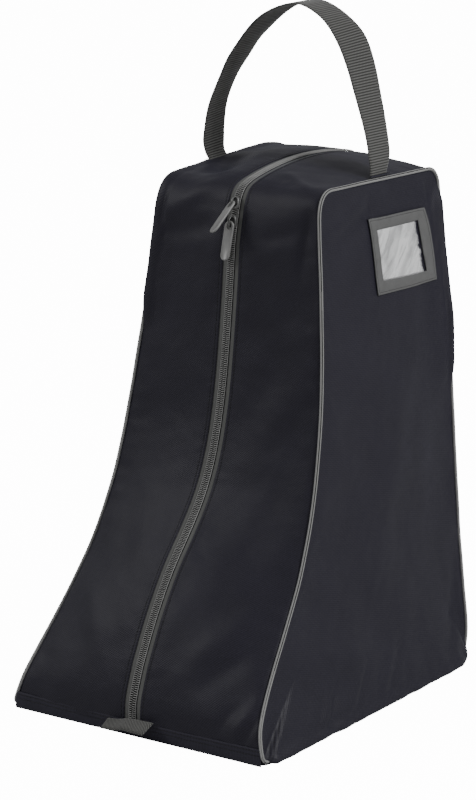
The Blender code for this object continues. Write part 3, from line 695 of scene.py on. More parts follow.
CLOTH = woven("shell_cloth", (0.0015, 0.0013, 0.0026), (0.0350, 0.0325, 0.0505), 0.0023, 0.49, 0.00024,
              specular=0.25, sheen=0.04, blotch=0.20)
BINDING = woven("binding_cloth", (0.004, 0.0036, 0.006), (0.048, 0.0445, 0.068), 0.0016, 0.70, 0.00018,
                twill=False)
PIPING = woven("piping_cloth", (0.20, 0.20, 0.196), (0.35, 0.35, 0.343), 0.0011, 0.55, 0.00010,
               specular=0.45)
# Painted shade: near-black cloth for the faces in the piping's crease.
CREASE_SHADE_CLOTH = woven("piping_crease", (0.012, 0.012, 0.012), (0.040, 0.040, 0.039), 0.0011, 0.6,
                     0.00010)
TAPE = woven("zip_tape_cloth", (0.080, 0.081, 0.078), (0.160, 0.162, 0.156), 0.0009, 0.75, 0.00012,
             twill=False)
# Painted shade: near-black tape for where the coil shades it.
DARK_TAPE = woven("zip_shadow_cloth", (0.010, 0.010, 0.010), (0.024, 0.024, 0.023), 0.0009, 0.8,
                  0.00012, twill=False)
COIL = grained("zip_coil_nylon", (0.24, 0.24, 0.235), (0.38, 0.38, 0.375), 0.35, 900, 0.00002)
THREAD = grained("thread", (0.004, 0.004, 0.005), (0.012, 0.012, 0.014), 0.6, 2500, 0.00005)
WEB = ribbed("handle_webbing", (0.004, 0.004, 0.004), (0.165, 0.165, 0.158), 0.0025, 0.0020)
TAB_WEB = ribbed("tab_webbing", (0.005, 0.005, 0.005), (0.170, 0.170, 0.162), 0.0016, 0.0014,
                 slant=0.5)
FRAME = grained("id_frame_cloth", (0.080, 0.081, 0.081), (0.150, 0.151, 0.150), 0.55, 1300, 0.00008,
                specular=0.4)
SLIDER = grained("slider_paint", (0.10, 0.10, 0.10), (0.19, 0.19, 0.188), 0.35, 500, 0.00002,
                 metallic=0.5)
# Painted shade: near-black for the recess in a slider's face.
RECESS = grained("slider_recess", (0.006, 0.006, 0.006), (0.014, 0.014, 0.014), 0.6, 500, 0.00002)
PULLER = grained("puller_paint", (0.20, 0.20, 0.197), (0.30, 0.30, 0.296), 0.42, 420, 0.00002,
                 metallic=0.15)
BOARD = grained("base_board_grain", (0.03, 0.03, 0.03), (0.06, 0.06, 0.06), 0.8, 300, 0.0002)


# ---- zip opening
FRONT_MID = (LOWER_STOP + SPLIT) / 2
TOP_MID = (SPLIT + UPPER_STOP) / 2


class Half(NamedTuple):
    """One stretch of one side of the zip; its open() only bakes the piece's transform."""

    name: str
    start: float              # its stretch of the outline
    end: float
    tip: float                # where the lens ends
    middle: float             # where it opens the most
    flap: str

    def stops(self, pitch):
        """Places along the stretch, about this far apart, with a spare one past each end."""
        count = int((self.end - self.start) / pitch)
        step = (self.end - self.start) / count
        return [self.start + k * step for k in range(-1, count + 2)]

    def open(self, obj, side, label):
        edge = strip_point(self.middle, 0.0, 0.0)
        tip = strip_point(self.tip, 0.0, 0.0)
        y, z = outline.at(self.middle)
        out = gusset_normal(self.middle)
        along = edge - tip
        along -= out * along.dot(out)
        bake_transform(obj)


TOE_START = BAND_TOP - 0.006 - PIPE_FOOT - TOE_FOOT
HALVES = (
    Half("toe", TOE_START, FRONT_MID, LOWER_STOP, FRONT_MID, "front_flap"),
    Half("front", FRONT_MID, SPLIT, SPLIT, FRONT_MID, "front_flap"),
    Half("top", SPLIT, TOP_MID, SPLIT, TOP_MID, "top_flap"),
    Half("heel", TOP_MID, TOP_END, UPPER_STOP, TOP_MID, "top_flap"),
)
STITCH_IN = 0.0034        # stitch row, from the folded edge of the cloth


# Columns of the cloth, closer together at its fold beside the zip and at its seam.
NEAR_ZIP = (0.0, 0.0004, 0.0009, 0.0018, 0.0027, 0.0031, 0.0034, 0.0037, 0.0041, 0.0052, 0.0070, 0.0092)
NEAR_SEAM = (0.0095, 0.0070, 0.0054, 0.0042, 0.0033, 0.0026, 0.0020, 0.0014, 0.0008)


def cloth_columns(w):
    """x of each column of the cloth between the zip and the seam."""
    inner = ZIP_SLIT + NEAR_ZIP[-1]
    outer = w - NEAR_SEAM[0]
    return ([ZIP_SLIT + n for n in NEAR_ZIP] + spread(inner, outer, 26)[1:]
            + [w - f for f in NEAR_SEAM[1:]])


def edge_shape(n):
    """Rounded fold of the cloth at the zip, and the groove of its stitching."""
    fold_drop = -0.0006 * max(0.0, 1 - n / 0.0009) ** 2
    swell = 0.00022 * exp(-((n - 0.0016) / 0.0010) ** 2)
    groove = -0.00018 * exp(-((n - STITCH_IN) / 0.00045) ** 2)
    return fold_drop + swell + groove


def cloth_half(half, label, side):
    rows, uvs = [], []
    for s in half.stops(0.0022):
        w = half_width(*outline.at(s))
        cover = roll_share(s, "left_gusset") if side < 0 else 0.0
        columns = cloth_columns(w)
        first = len(columns) - len(ROLL)
        row = []
        for j, x in enumerate(columns):
            point = gusset_point(s, side * x, edge_shape(x - ZIP_SLIT))
            if cover and j >= first:
                past, height = ROLL[j - first]
                swell = 1 + 0.16 * soft_noise(s, 0.0, 0.024, 9.0)
                over = strip_point(s, side * (w + past), height * swell)
                point = point.lerp(over, cover)
            row.append(point)
        rows.append(row)
        uvs.append([(side * x, s) for x in columns])
    return sheet(half.name + "_cloth_" + label, rows, uvs, [CLOTH], SHEET)


DARK_TAPE_TO = 0.0042     # the tape lies in the coil's shade up to here
SHADE_DEPTH = 0.0006      # and it is pressed down by this much there
TAPE_COLUMNS = (0.0002, 0.0014, 0.0028, DARK_TAPE_TO, 0.0045, 0.0056, 0.0068, 0.0080, 0.0092, 0.0110)


def tape_half(half, label, side):
    rows, uvs = [], []
    for s in half.stops(0.004):
        rows.append([strip_point(s, side * x, -TAPE_DEPTH - (SHADE_DEPTH if x <= DARK_TAPE_TO else 0.0))
                     for x in TAPE_COLUMNS])
        uvs.append([(side * x, s) for x in TAPE_COLUMNS])
    obj = sheet(half.name + "_tape_" + label, rows, uvs, [TAPE, DARK_TAPE], 0.0005)
    # Faces in the coil's shade get the second material, painted shade; they are also pressed down by
    # SHADE_DEPTH.
    for face in obj.data.polygons:
        if all(abs(obj.data.vertices[v].co.x) < DARK_TAPE_TO + 0.0001 for v in face.vertices):
            face.material_index = 1
    return obj


TOOTH_PITCH = 0.0017
COIL_START = BAND_TOP - 0.0115
WIRE_HALF = 0.0004        # half the wire's thickness along the zip, and over it
WIRE_DEEP = 0.0007
CORD_HALF = 0.0003
# A loop of the coil as (x, share of its full thickness, height) from the zip's middle.
TOOTH = ((0.0000, 0.35, 0.0), (0.0004, 1.0, 0.0), (0.0019, 0.95, 0.00005), (0.0033, 0.80, -0.0002),
         (0.0037, 0.3, -0.0004))


def teeth_half(half, label, side):
    """The coil's loops, staggered from one side to the other."""
    verts, faces = [], []
    first = int(half.start / TOOTH_PITCH) + 1
    last = int(half.end / TOOTH_PITCH)
    for k in range(first, last + 1):
        s = (k + (0.5 if side > 0 else 0.0)) * TOOTH_PITCH
        if not half.start < s < half.end or s < COIL_START:
            continue
        out = gusset_normal(s)
        along = Vector((0, out.z, -out.y))
        rows = []
        for x, grow, lift in TOOTH:
            centre = strip_point(s, side * x, COIL_PROUD - 0.0008 + lift)
            rows.append([centre + along * (WIRE_HALF * cos(a) * grow) + out * (WIRE_DEEP * sin(a) * grow)
                         for a in around(6)])
        add_tube(verts, faces, rows)
    # The cord that the loops are sewn down with, on their tape side.
    rows = []
    for s in spread(half.start, half.end, int((half.end - half.start) / 0.0015)):
        if s < COIL_START:
            continue
        out = gusset_normal(s)
        centre = strip_point(s, side * TOOTH[-1][0], COIL_PROUD - 0.0012)
        rows.append([centre + Vector((CORD_HALF * cos(a), 0, 0)) + out * (CORD_HALF * sin(a))
                     for a in around(6)])
    faces += grid(rows, wrap_columns=True, start=len(verts))
    verts += flat(rows)
    return solid(half.name + "_coil_" + label, verts, faces, [COIL])


# A stitch as (share of its length, share of its radius, lift in radii).
ARCH = ((0.0, 0.45, -0.5), (0.18, 1.0, 0.1), (0.5, 1.05, 0.35), (0.82, 1.0, 0.1), (1.0, 0.45, -0.5))


def add_stitch(verts, faces, a, b, out, radius):
    """One stitch as a small arched capsule from a to b."""
    across = (b - a).cross(out).normalized()
    add_tube(verts, faces, [
        [a.lerp(b, t) + out * (radius * lift)
         + (across * cos(angle) + out * sin(angle)) * radius * grow for angle in around(5)]
        for t, grow, lift in ARCH])


STITCH = 0.0026
STITCH_STEP = 0.0033


def stitch_half(half, label, side):
    verts, faces = [], []
    x = side * (ZIP_SLIT + STITCH_IN)
    lift = edge_shape(STITCH_IN) + 0.00012
    s = half.start + 0.001
    while s + STITCH < half.end:
        if s > BAND_TOP - 0.0105:
            add_stitch(verts, faces, gusset_point(s, x, lift), gusset_point(s + STITCH, x, lift),
                       gusset_normal(s), 0.00027)
        s += STITCH_STEP
    return solid(half.name + "_stitches_" + label, verts, faces, [THREAD])


for half in HALVES:
    for label, side in SIDES:
        for build, slot, cad in ((cloth_half, "shell_cloth", "_gusset_"),
                                 (tape_half, "zip_tape", "_zip_tape_"),
                                 (teeth_half, "zip_coil", "_zip_coil_"),
                                 (stitch_half, "shell_cloth", None)):
            piece = build(half, label, side)
            half.open(piece, side, label)
            if cad and half.name != "heel":
                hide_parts(half.name + cad + label)


# ---- back panel
def across_columns(w):
    outer = [w - f for f in NEAR_SEAM]
    return [-x for x in outer[:0:-1]] + spread(-outer[0], outer[0], 40) + outer[1:]


def back_shape(s, x, w):
    d = w - abs(x)
    puckers = 0.0006 * pucker(d) * soft_noise(s * 1.5, x * 0.4, 0.022, 13.0)
    return ease(d / 0.02) * waves(s, x, BACK_WAVES) + puckers - seam_dip(d)


rows, uvs = [], []
for s in spread(TOP_END - 0.0016, AT_BASE - 0.002, 172):
    w = half_width(*outline.at(s))
    columns = across_columns(w)
    rows.append([strip_point(s, x, back_shape(s, x, w)) for x in columns])
    uvs.append([(x, s) for x in columns])
back = sheet("back_cloth", rows, uvs, [CLOTH], SHEET)
hang(back, "shell", "shell_cloth", "back_panel")


# ---- side panels
SIDE_CENTRE = Vector((0.055, 0.205))


def swell(distance, reach):
    """0 at a seam, rising smoothly to 1 this far inside it."""
    return sin(pi / 2 * min(max(distance / reach, 0.0), 1.0))


def side_bulge(y, z):
    """Outward belly of a side panel, without ridges towards its corners."""
    front = swell(y - smooth(FRONT_SEAM, max(z, 0.0)), 0.14) * swell(HEEL_Y - y, 0.14)
    return SIDE_BULGE * front * swell(z, 0.16) * swell(BODY_HEIGHT - z, 0.18)


RIM_DROPS = (0.0062, 0.0052, 0.0043, 0.0035, 0.0028, 0.0022, 0.0018, 0.0012, 0.0008)
SAG_OUT = (0.0060, 0.0067, 0.0073, 0.0078, 0.0081, 0.0082, 0.0080, 0.0073, 0.0062)
SAG_DOWN = (0.0, 0.0002, 0.0006, 0.0011, 0.0017, 0.0023, 0.0029, 0.0034, 0.0036)
RIM_REACH = 0.010         # the rim turns its corners over twice this length
RIM_PLAY = 0.016          # the panel's own folds fade out this close to its seam


def base_share(s):
    """1 along the base, fading to 0 at its two corners."""
    return ease((s - AT_BACK_FOOT + 0.006) / 0.020) * ease((AT_TOE + 0.007 - s) / 0.014)


def side_shape(y, z, label):
    return waves(y, z, SIDE_WAVES, SIDE_SEED[label]) + sum(fold(y, z, line) for line in SIDE_FOLDS)


def side_cloth(label, side):
    stops = spread(0.0, outline.length, 420)[:-1]
    fractions = spread(0.0, 1.0, 40)[1:]
    rows, uvs = [], []
    for s in stops:
        rim = outline.at(s)
        out = outline.outward(s, RIM_REACH)
        inner = rim - out * RIM_DROPS[0]
        share = base_share(s)
        cover = roll_share(s, "side_rim")
        full = 1 + 0.8 * exp(-((rim.y - 0.335) / 0.045) ** 2) * cover
        wave = share * soft_noise(rim.x, rim.y, 0.021, 41.0 + side)
        row = []
        spots = [(SIDE_CENTRE.lerp(inner, f), f, None) for f in fractions[:-1]]
        spots += [(rim - out * drop, 1.0, k) for k, drop in enumerate(RIM_DROPS)]
        for spot, f, k in spots:
            d = (spot - rim).length
            x = half_width(*spot) + side_bulge(*spot)
            x += side_shape(spot.x, spot.y, label) * ease(d / RIM_PLAY)
            x += 0.0008 * pucker(d) * soft_noise(rim.x, rim.y, 0.016, 25.0 + side)
            x -= seam_dip(d) * (1 - share) * (1 - cover)
            z = spot.y
            belly = share * exp(-(max(z - PIPE_FOOT - RIM_DROPS[0], 0) / 0.030) ** 2)
            if k is None:
                x += belly * (SAG_OUT[0] + 0.0009 * wave)
            else:
                x += share * (SAG_OUT[k] + 0.0009 * wave)
                z -= share * SAG_DOWN[k] * (1 + 0.10 * wave)
            rise = cover * full * ROLL[0][1] * exp(-(max(d - RIM_DROPS[0], 0.0) / 0.018) ** 2)
            if k is None or cover == 0:
                x += rise
            else:
                past, height = ROLL[k]
                over = rim + out * past * (0.65 if past < 0 else 1.0)
                over_x = half_width(*rim) + height * full * (1 + 0.15 * soft_noise(s, 0.0, 0.03, 29.0))
                x += (over_x - x) * cover
                spot = spot.lerp(over, cover)
                z += (over.y - z) * cover
            row.append(Vector((side * x, spot.x, max(z, 0.0006))))
            uvs.append((spot.x, spot.y))
        rows.append(row)
    centre_x = half_width(*SIDE_CENTRE) + side_bulge(*SIDE_CENTRE) + side_shape(*SIDE_CENTRE, label)
    verts = flat(rows) + [Vector((side * centre_x, *SIDE_CENTRE))]
    uvs.append(tuple(SIDE_CENTRE))
    faces = grid(rows, wrap_rows=True)
    m = len(rows[0])
    hub = len(verts) - 1
    for i in range(len(rows)):
        faces.append((hub, i * m, ((i + 1) % len(rows)) * m))
    obj = make("side_cloth_" + label, verts, faces, [CLOTH], uvs)
    turn_out(obj)
    thicken(obj, SHEET)
    hang(obj, "shell", "shell_cloth", "side_panel_" + label)


for label, side in SIDES:
    side_cloth(label, side)


# ---- piping
PIPE_FACETS = 28
PIPE_STOPS = 560
CORD_R = 0.00165          # shown radius; the CAD's is PIPE_R
CREASE = 0.00055          # the covering strip is pinched in along the cord's crest
CREASE_REACH = 0.060      # width of that pinch, as 1 - cosine


def pipe_centre(s, side):
    y, z = outline.at(s)
    wander = 0.00035 * soft_noise(s, 0.0, 0.035, 50.0 + side)
    drift = 0.00035 * soft_noise(s, 0.0, 0.050, 54.0 + side)
    out = outline.outward(s)
    return Vector((side * (half_width(y, z) + wander), y + out.x * drift, z + out.y * drift))


def piping(label, side):
    """Cord under a folded strip, with the strip's crease along its crest; the faces in the crease get a
    near-black material as painted shade.
    """
    centres = [pipe_centre(s, side) for s in spread(0, outline.length, PIPE_STOPS)[:-1]]
    rows, uvs, creased = [], [], []
    for k, centre in enumerate(centres):
        run = (centres[(k + 1) % PIPE_STOPS] - centres[k - 1]).normalized()
        across = (Vector((1, 0, 0)) - run * run.x).normalized()
        up = run.cross(across)
        face = outline.outward(k / PIPE_STOPS * outline.length)
        crest = (Vector((side, 0, 0)) + Vector((0, face.x, face.y))).normalized()
        row = []
        s = k / PIPE_STOPS * outline.length
        for a in around(PIPE_FACETS):
            way = across * cos(a) + up * sin(a)
            lean = max(0.0, way.dot(crest))
            crease = CREASE * exp(-((1 - lean) / CREASE_REACH) ** 2)
            creased.append(lean > 1 - CREASE_REACH)
            row.append(centre + way * (CORD_R - crease))
            uvs.append((a * PIPE_R, s))
        rows.append(row)
    faces = grid(rows, True, True)
    # Faces along the crest get the second material: painted shade in the crease.
    dark = [1 if sum(creased[v] for v in face) >= 3 else 0 for face in faces]
    cord = solid("piping_cord_" + label, flat(rows), faces, [PIPING, CREASE_SHADE_CLOTH], uvs, dark)
    hang(cord, "shell", "piping_cord", "piping_" + label)


for label, side in SIDES:
    piping(label, side)


# ---- toe binding
def band_point(x, h, lift=0.0):
    """Point of the binding across the toe at height h."""
    w = half_width(TOE_Y, 0.008)
    y = smooth(FRONT_SEAM, h) - 0.0042 * (1 - (x / w) ** 2) * h / BAND_TOP
    ends = 1 - ease((abs(x) - w + 0.010) / 0.008)
    return Vector((x, y - 0.0011 - waves(x, h, BAND_WAVES) * ends - lift, h))


band_half = half_width(TOE_Y, 0.008) - 0.0016
band_heights = [0.0008, 0.0016, 0.0030, 0.0050, 0.0075, 0.0095, 0.0101, 0.0105, 0.0109, 0.0115,
                0.0130, 0.0138, 0.0142, 0.0146, 0.0152, 0.0160, 0.0164, 0.0165]
ROWS_Z = (0.0105, 0.0142)
BAND_STITCH = 0.0024
BAND_STITCH_STEP = 0.0031
rows, uvs = [], []
for x in spread(-band_half, band_half, 150):
    row = []
    for h in band_heights:
        lift = -sum(0.00035 * exp(-((h - z) / 0.0004) ** 2) for z in ROWS_Z)
        lift -= 0.0008 * ease((h - 0.0155) / 0.0010)
        lift -= 0.0009 * ease((0.0026 - h) / 0.0020)
        row.append(band_point(x, h, lift + 0.0002))
        uvs.append((x, h))
    rows.append(row)
band = make("toe_binding_band", flat(rows), grid(rows), [BINDING], uvs)
turn_out(band)
thicken(band, 0.0010)
hang(band, "shell", "binding_cloth", "toe_binding")
verts, faces = [], []
for h in ROWS_Z:
    x = -band_half + 0.003
    while x < band_half - 0.004:
        add_stitch(verts, faces, band_point(x, h, 0.00005), band_point(x + BAND_STITCH, h, 0.00005),
                   Vector((0, -1, 0)), 0.00025)
        x += BAND_STITCH_STEP
hang(solid("toe_binding_stitches", verts, faces, [THREAD]), "shell", "binding_cloth")


# ---- webbing pieces
RING_STEPS = 14
HANDLE_RIB = 0.00012
BAR_STITCH = 0.0016
BAR_STITCH_STEP = 0.0021


def strap(name, centres, normals, acrosses, half_widths):
    """Flat webbing through centres with rounded selvedges; v runs along it."""
    rows, uvs = [], []
    run = 0.0
    for k, centre in enumerate(centres):
        if k:
            run += (centre - centres[k - 1]).length
        row = []
        for j in range(2 * RING_STEPS + 2):
            top = j <= RING_STEPS
            t = (j if top else 2 * RING_STEPS + 1 - j) / RING_STEPS * 2 - 1
            edge = sqrt(max(0.0, 1 - abs(t) ** 14))
            ridge = HANDLE_RIB * abs(sin(pi * run / 0.0021)) * edge
            high = (WEB_THICK / 2 * (0.25 + 0.75 * edge) + ridge) * (1 if top else -1)
            row.append(centre + acrosses[k] * (t * half_widths[k]) + normals[k] * high)
            uvs.append((t * half_widths[k], run))
        rows.append(row)
    verts, faces = [], []
    add_tube(verts, faces, rows)
    return solid(name, verts, faces, [WEB], uvs)


def loop_point(t):
    """Middle of the webbing loop, t from the left seam over the top to the right one."""
    last = len(HANDLE_LOOP) - 1
    x = smooth([(k / last, spot[0]) for k, spot in enumerate(HANDLE_LOOP)], t)
    z = smooth([(k / last, spot[1]) for k, spot in enumerate(HANDLE_LOOP)], t)
    return Vector((x, 0.0, HANDLE_PIVOT_Z + z))


def even_loop(step):
    """Points along the loop, equally far apart, with its two tails."""
    dense = [loop_point(t) for t in spread(0.0, 1.0, 1200)]
    tail = HANDLE_PIVOT_Z - 0.0060
    dense = [Vector((dense[0].x, 0, tail))] + dense + [Vector((dense[-1].x, 0, tail))]
    out = [dense[0]]
    left = step
    for a, b in zip(dense, dense[1:]):
        length = (b - a).length
        done = 0.0
        while length - done >= left:
            done += left
            out.append(a.lerp(b, done / length))
            left = step
        left -= length - done
    return out


LEFT_FORWARD = 0.0190     # the left strand stands this much nearer to the toe at its foot
LEFT_INWARD = 0.706       # and it comes in by this share of that
# Degrees that the webbing turns about its own run, along the loop from the left foot.
LOOP_TWIST = ((0.0, 0.0), (0.10, 5.5), (0.18, 7.0), (0.23, 6.0), (0.28, 1.0), (0.33, 0.5), (0.37, -2.5),
              (0.42, -3.5), (0.50, 0.0), (0.60, 2.0), (0.67, 10.0), (0.75, 7.5), (0.82, 3.0),
              (0.90, -1.5), (1.0, -2.5))
FOOT_HALF = 0.0145
GATHER_RISE = 0.022       # height over which the webbing opens to its full width
loop = even_loop(0.0007)
total = len(loop) - 1
centres, normals, acrosses, halves = [], [], [], []
for k, point in enumerate(loop):
    run = (loop[min(k + 1, total)] - loop[max(k - 1, 0)]).normalized()
    t = k / total
    sway = 0.0008 * sin(7 * pi * t)
    across, normal = turned(Vector((0, 1, 0)), Vector((-run.z, 0, run.x)), smooth(LOOP_TWIST, t))
    drift = LEFT_FORWARD * (1 - ease((point.z - HANDLE_PIVOT_Z) / 0.12)) if t < 0.5 else 0.0
    centres.append(point + Vector((sway + LEFT_INWARD * drift, HANDLE_Y - drift, 0)))
    acrosses.append(across.normalized())
    normals.append(normal.normalized())
    rise = point.z - HANDLE_PIVOT_Z
    halves.append(FOOT_HALF + (WEBBING / 2 - FOOT_HALF) * ease(rise / GATHER_RISE))
handle = strap("handle_strap", centres, normals, acrosses, halves)
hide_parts("handle")
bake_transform(handle)

for label, side in SIDES:
    low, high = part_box("handle_anchor_" + label)
    middle = (low + high) / 2
    size = (high - low) / 2
    shift = Vector((0, LEFT_FORWARD if label == "left" else 0.0, 0))
    rows, uvs = [], []
    for y in spread(-size.y, size.y, 30):
        pinch = 0.78 + 0.22 * (1 - (y / size.y) ** 8)
        rows.append([middle - shift + Vector((size.x * 0.95 * pinch * cos(a), y, size.z * pinch * sin(a)))
                     for a in around(16)])
        uvs += [(a * 0.004, y) for a in around(16)]
    verts, faces = [], []
    add_tube(verts, faces, rows)
    bar = solid("handle_bar_" + label, verts, faces, [BINDING], uvs)
    hang(bar, "shell", "webbing", "handle_anchor_" + label)
    verts, faces = [], []
    x = middle.x + side * size.x * 0.86
    y = low.y + 0.001
    while y < high.y - BAR_STITCH:
        for z in (low.z + 0.0018, high.z - 0.0016):
            add_stitch(verts, faces, Vector((x, y, z)) - shift, Vector((x, y + BAR_STITCH, z)) - shift,
                       Vector((side, 0, 0)), 0.0003)
        y += BAR_STITCH_STEP
    hang(solid("handle_bar_stitches_" + label, verts, faces, [THREAD]), "shell", "webbing")


def tab_strap(name, cad, low, high, point_at, half, thick):
    """Folded webbing tab across the zip."""
    rows, uvs = [], []
    layers = spread(low, high, 12)
    for top in (1, 0):
        for h in (layers if top else layers[::-1]):
            t = (h - low) / (high - low)     # 0 and 1 at the folded edges
            roll = 1 - 0.6 * ease((abs(2 * t - 1) - 0.86) / 0.14)
            row = []
            for x in spread(-half, half, 42):
                spot, out = point_at(x, h)
                edge = 1 - 0.5 * ease((abs(x) / half - 0.92) / 0.08)
                row.append(spot + out * (thick * edge * roll * top))
                uvs.append((h, x))
            rows.append(row)
    obj = make(name, flat(rows), grid(rows, wrap_rows=True), [TAB_WEB], uvs)
    rework(obj, fill_ends)
    rework(obj, face_outward)
    hang(obj, "shell", "webbing", cad)


tab_low, tab_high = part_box("zip_tab_front")
TAB_HALF = (tab_high.x - tab_low.x) / 2
TAB_LEN = 0.0155
FOOT_TAB = (Vector((0, -0.1830, 0.0173)), Vector((0, -0.1968, 0.0109)))    # root and tip


def front_tab_point(x, h):
    """Point of the lip-like tab, h from its tip back to its root."""
    root, tip = FOOT_TAB
    side_share = x / TAB_HALF
    spot = tip.lerp(root, h / TAB_LEN) + Vector((x, 0, 0.0026 * side_share))
    spot.y -= 0.0030 * side_share * (1 - h / TAB_LEN)
    run = (root - tip).normalized()
    up = Vector((0, -run.z, run.y))
    hump = 0.0014 * exp(-(x / 0.008) ** 2) + 0.0007 * sin(x / 0.008 + 0.6)
    return spot + up * hump, up


def heel_tab_point(x, s):
    return strip_point(s, x, 0.0010), gusset_normal(s)


tab_strap("zip_foot_tab", "zip_tab_front", 0.0, TAB_LEN, front_tab_point, TAB_HALF, 0.0022)
tab_strap("zip_heel_tab", "zip_tab_back", TOP_END - 0.003, TOP_END + 0.016, heel_tab_point, 0.0125,
          0.0016)


# ---- ID window
HOLDER = ((0.0552, 0.4402), (0.1451, 0.4395), (0.1619, 0.3708), (0.0578, 0.3718))
WINDOW = ((0.0666, 0.4294), (0.1372, 0.4290), (0.1455, 0.3813), (0.0681, 0.3838))


def side_point(spot, lift):
    shape = side_shape(spot.x, spot.y, "right")
    return Vector((half_width(spot.x, spot.y) + side_bulge(spot.x, spot.y) + 0.8 * shape + lift,
                   spot.x, spot.y))


def patch(corners, u, v, bow=0.0):
    a, b, c, d = (Vector(p) for p in corners)
    spot = a.lerp(b, u).lerp(d.lerp(c, u), v)
    spot.x += bow * u ** 3 * sin(pi * min(max(v, 0), 1)) + bow * 0.8 * u ** 3 * (1 - v)
    return spot


def frame_walk(steps):
    ts = [k / steps for k in range(steps)]
    return ([(t, 0.0) for t in ts] + [(1.0, t) for t in ts]
            + [(1.0 - t, 1.0) for t in ts] + [(0.0, 1.0 - t) for t in ts])


BOW = 0.0045
LIFT = 0.0020
walk = frame_walk(24)
rings, uvs = [], []
for share, lift in ((0.0, 0.0), (0.0, 0.0008), (0.04, 0.00115), (0.14, 0.0012), (0.18, 0.00095),
                    (0.22, 0.0012), (0.5, 0.0013), (0.90, 0.0012), (0.96, 0.0009), (1.0, 0.0004),
                    (1.0, -0.0006)):
    ring = []
    for u, v in walk:
        spot = patch(HOLDER, u, v, BOW).lerp(patch(WINDOW, u, v, 0.0), share)
        ring.append(side_point(spot, LIFT - 0.0009 + lift))
        uvs.append(tuple(spot))
    rings.append(ring)
frame_piece = solid("id_frame_cloth", flat(rings), grid(rings, wrap_columns=True, wrap_rows=True),
                    [FRAME], uvs)
hang(frame_piece, "shell", "label_frame", "id_frame")
verts, faces = [], []
fine = frame_walk(60)
line = [patch(HOLDER, u, v, BOW).lerp(patch(WINDOW, u, v), 0.18) for u, v in fine]
for a, b in zip(line, line[1:] + line[:1]):
    if (b - a).length >= 0.0008:
        add_stitch(verts, faces, side_point(a, LIFT + 0.0001),
                   side_point(a.lerp(b, 0.72), LIFT + 0.0001), Vector((1, 0, 0)), 0.00022)
hang(solid("id_frame_stitches", verts, faces, [THREAD]), "shell", "label_frame")


SLIT = 0.092              # the insert and film stop this share short of the rear edge
FILM_STEPS = 60


def film(name, lift, crumple, inset, mat, slot, cad):
    """Crumpled sheet behind the frame; its rear edge is wavy and leaves a slit."""
    rows, uvs = [], []
    for v in spread(inset, 1 - inset, FILM_STEPS):
        row = []
        end = 1 - SLIT - 0.045 * soft_noise(v, 0.0, 0.13, 75.0) - 0.030 * soft_noise(v, 0.0, 0.05, 76.0)
        for u in spread(inset, end, FILM_STEPS):
            spot = patch(WINDOW, u, v)
            edge = min(u, 1 - u, v, 1 - v)
            lump = crumple * ease(edge / 0.12) * (
                soft_noise(spot.x + 0.9 * spot.y, 0.35 * spot.y, 0.011, 71.0)
                + 0.6 * abs(soft_noise(spot.x + 0.5 * spot.y, spot.y, 0.010, 73.0))
                + 0.4 * soft_noise(spot.x, spot.y - 0.5 * spot.x, 0.005, 72.0))
            row.append(side_point(spot, lift + lump))
            uvs.append(tuple(spot))
        rows.append(row)
    obj = make(name, flat(rows), grid(rows), [mat], uvs)
    turn_out(obj)
    thicken(obj, 0.0003)
    hang(obj, "shell", slot, cad)


def card_painted_highlights_material():
    """Pale crumpled insert: painted highlights and painted shade of its crumples, as bright and dull
    facets drawn out along one diagonal.
    """
    mat, tree, shader = new_material("insert_card", 0.30, metallic=0.2, specular=0.6)
    u, v, _, _ = coordinates(tree)
    along = calc(tree, "MULTIPLY", calc(tree, "ADD", u, v), 15.0)
    over = calc(tree, "MULTIPLY", calc(tree, "SUBTRACT", u, v), 60.0)
    spot = node(tree, "ShaderNodeCombineXYZ", {"X": along, "Y": over}).outputs["Vector"]
    highlight_streaks = clouds(tree, spot, 1.0, 2.5, Distortion=1.6)
    facets = node(tree, "ShaderNodeTexVoronoi", {"Vector": spot, "Scale": 0.8})
    # Painted highlight and shade: the streaks and facets swing the colour from grey to white.
    tone = calc(tree, "MULTIPLY_ADD", highlight_streaks, 4.2, -1.75)
    tone = calc(tree, "MULTIPLY_ADD", facets.outputs["Distance"], 0.45, tone)
    two_tone(tree, shader, (0.30, 0.30, 0.30), (1.0, 1.0, 1.0), tone)
    bump(tree, shader, highlight_streaks, 0.0016, 0.6)
    return mat


def film_material():
    """Clear, slightly cloudy film."""
    mat, tree, shader = new_material("clear_film", 0.12, specular=0.6)
    cloud = clouds(tree, coordinates(tree)[-1], 90.0, 3.0)
    uneven_gloss(tree, shader, cloud, 0.03, 0.18)
    bump(tree, shader, cloud, 0.0008, 0.4)
    shader.inputs["Base Color"].default_value = (0.92, 0.93, 0.94, 1)
    shader.inputs["Alpha"].default_value = 0.22
    return mat


film("id_insert", LIFT - 0.0014, 0.0008, 0.01, card_painted_highlights_material(), "label_card", "id_card")
film("id_film", LIFT + 0.0002, 0.0005, 0.0, film_material(), "clear_film", "id_window")


# ---- sliders and pullers
LOWER_AT = SPLIT - 0.0115
UPPER_AT = SPLIT + 0.0045


# Rings of a slider's body as (share of its outline, height): underside, side, shoulder, rim
# and, from ring RECESS_FROM, the recess in its face.
BODY_RINGS = ((0.90, -0.0016), (1.0, -0.0014), (1.0, 0.0008), (0.93, 0.0016), (0.80, 0.0019),
              (0.66, 0.0018), (0.58, 0.0008), (0.02, 0.0008))
RECESS_FROM = 5
BODY_STEPS = 28
BODY_HALF = 0.0048
BODY_LONG = 0.0064        # half the body's length
BAIL_LONG = 0.0046        # half the bail's length, and its height
BAIL_RISE = 0.0058
BAIL_FOOT = 0.0006
BAIL_BROAD = 0.0009       # half the width and half the thickness of its wire
BAIL_WIRE = 0.00055


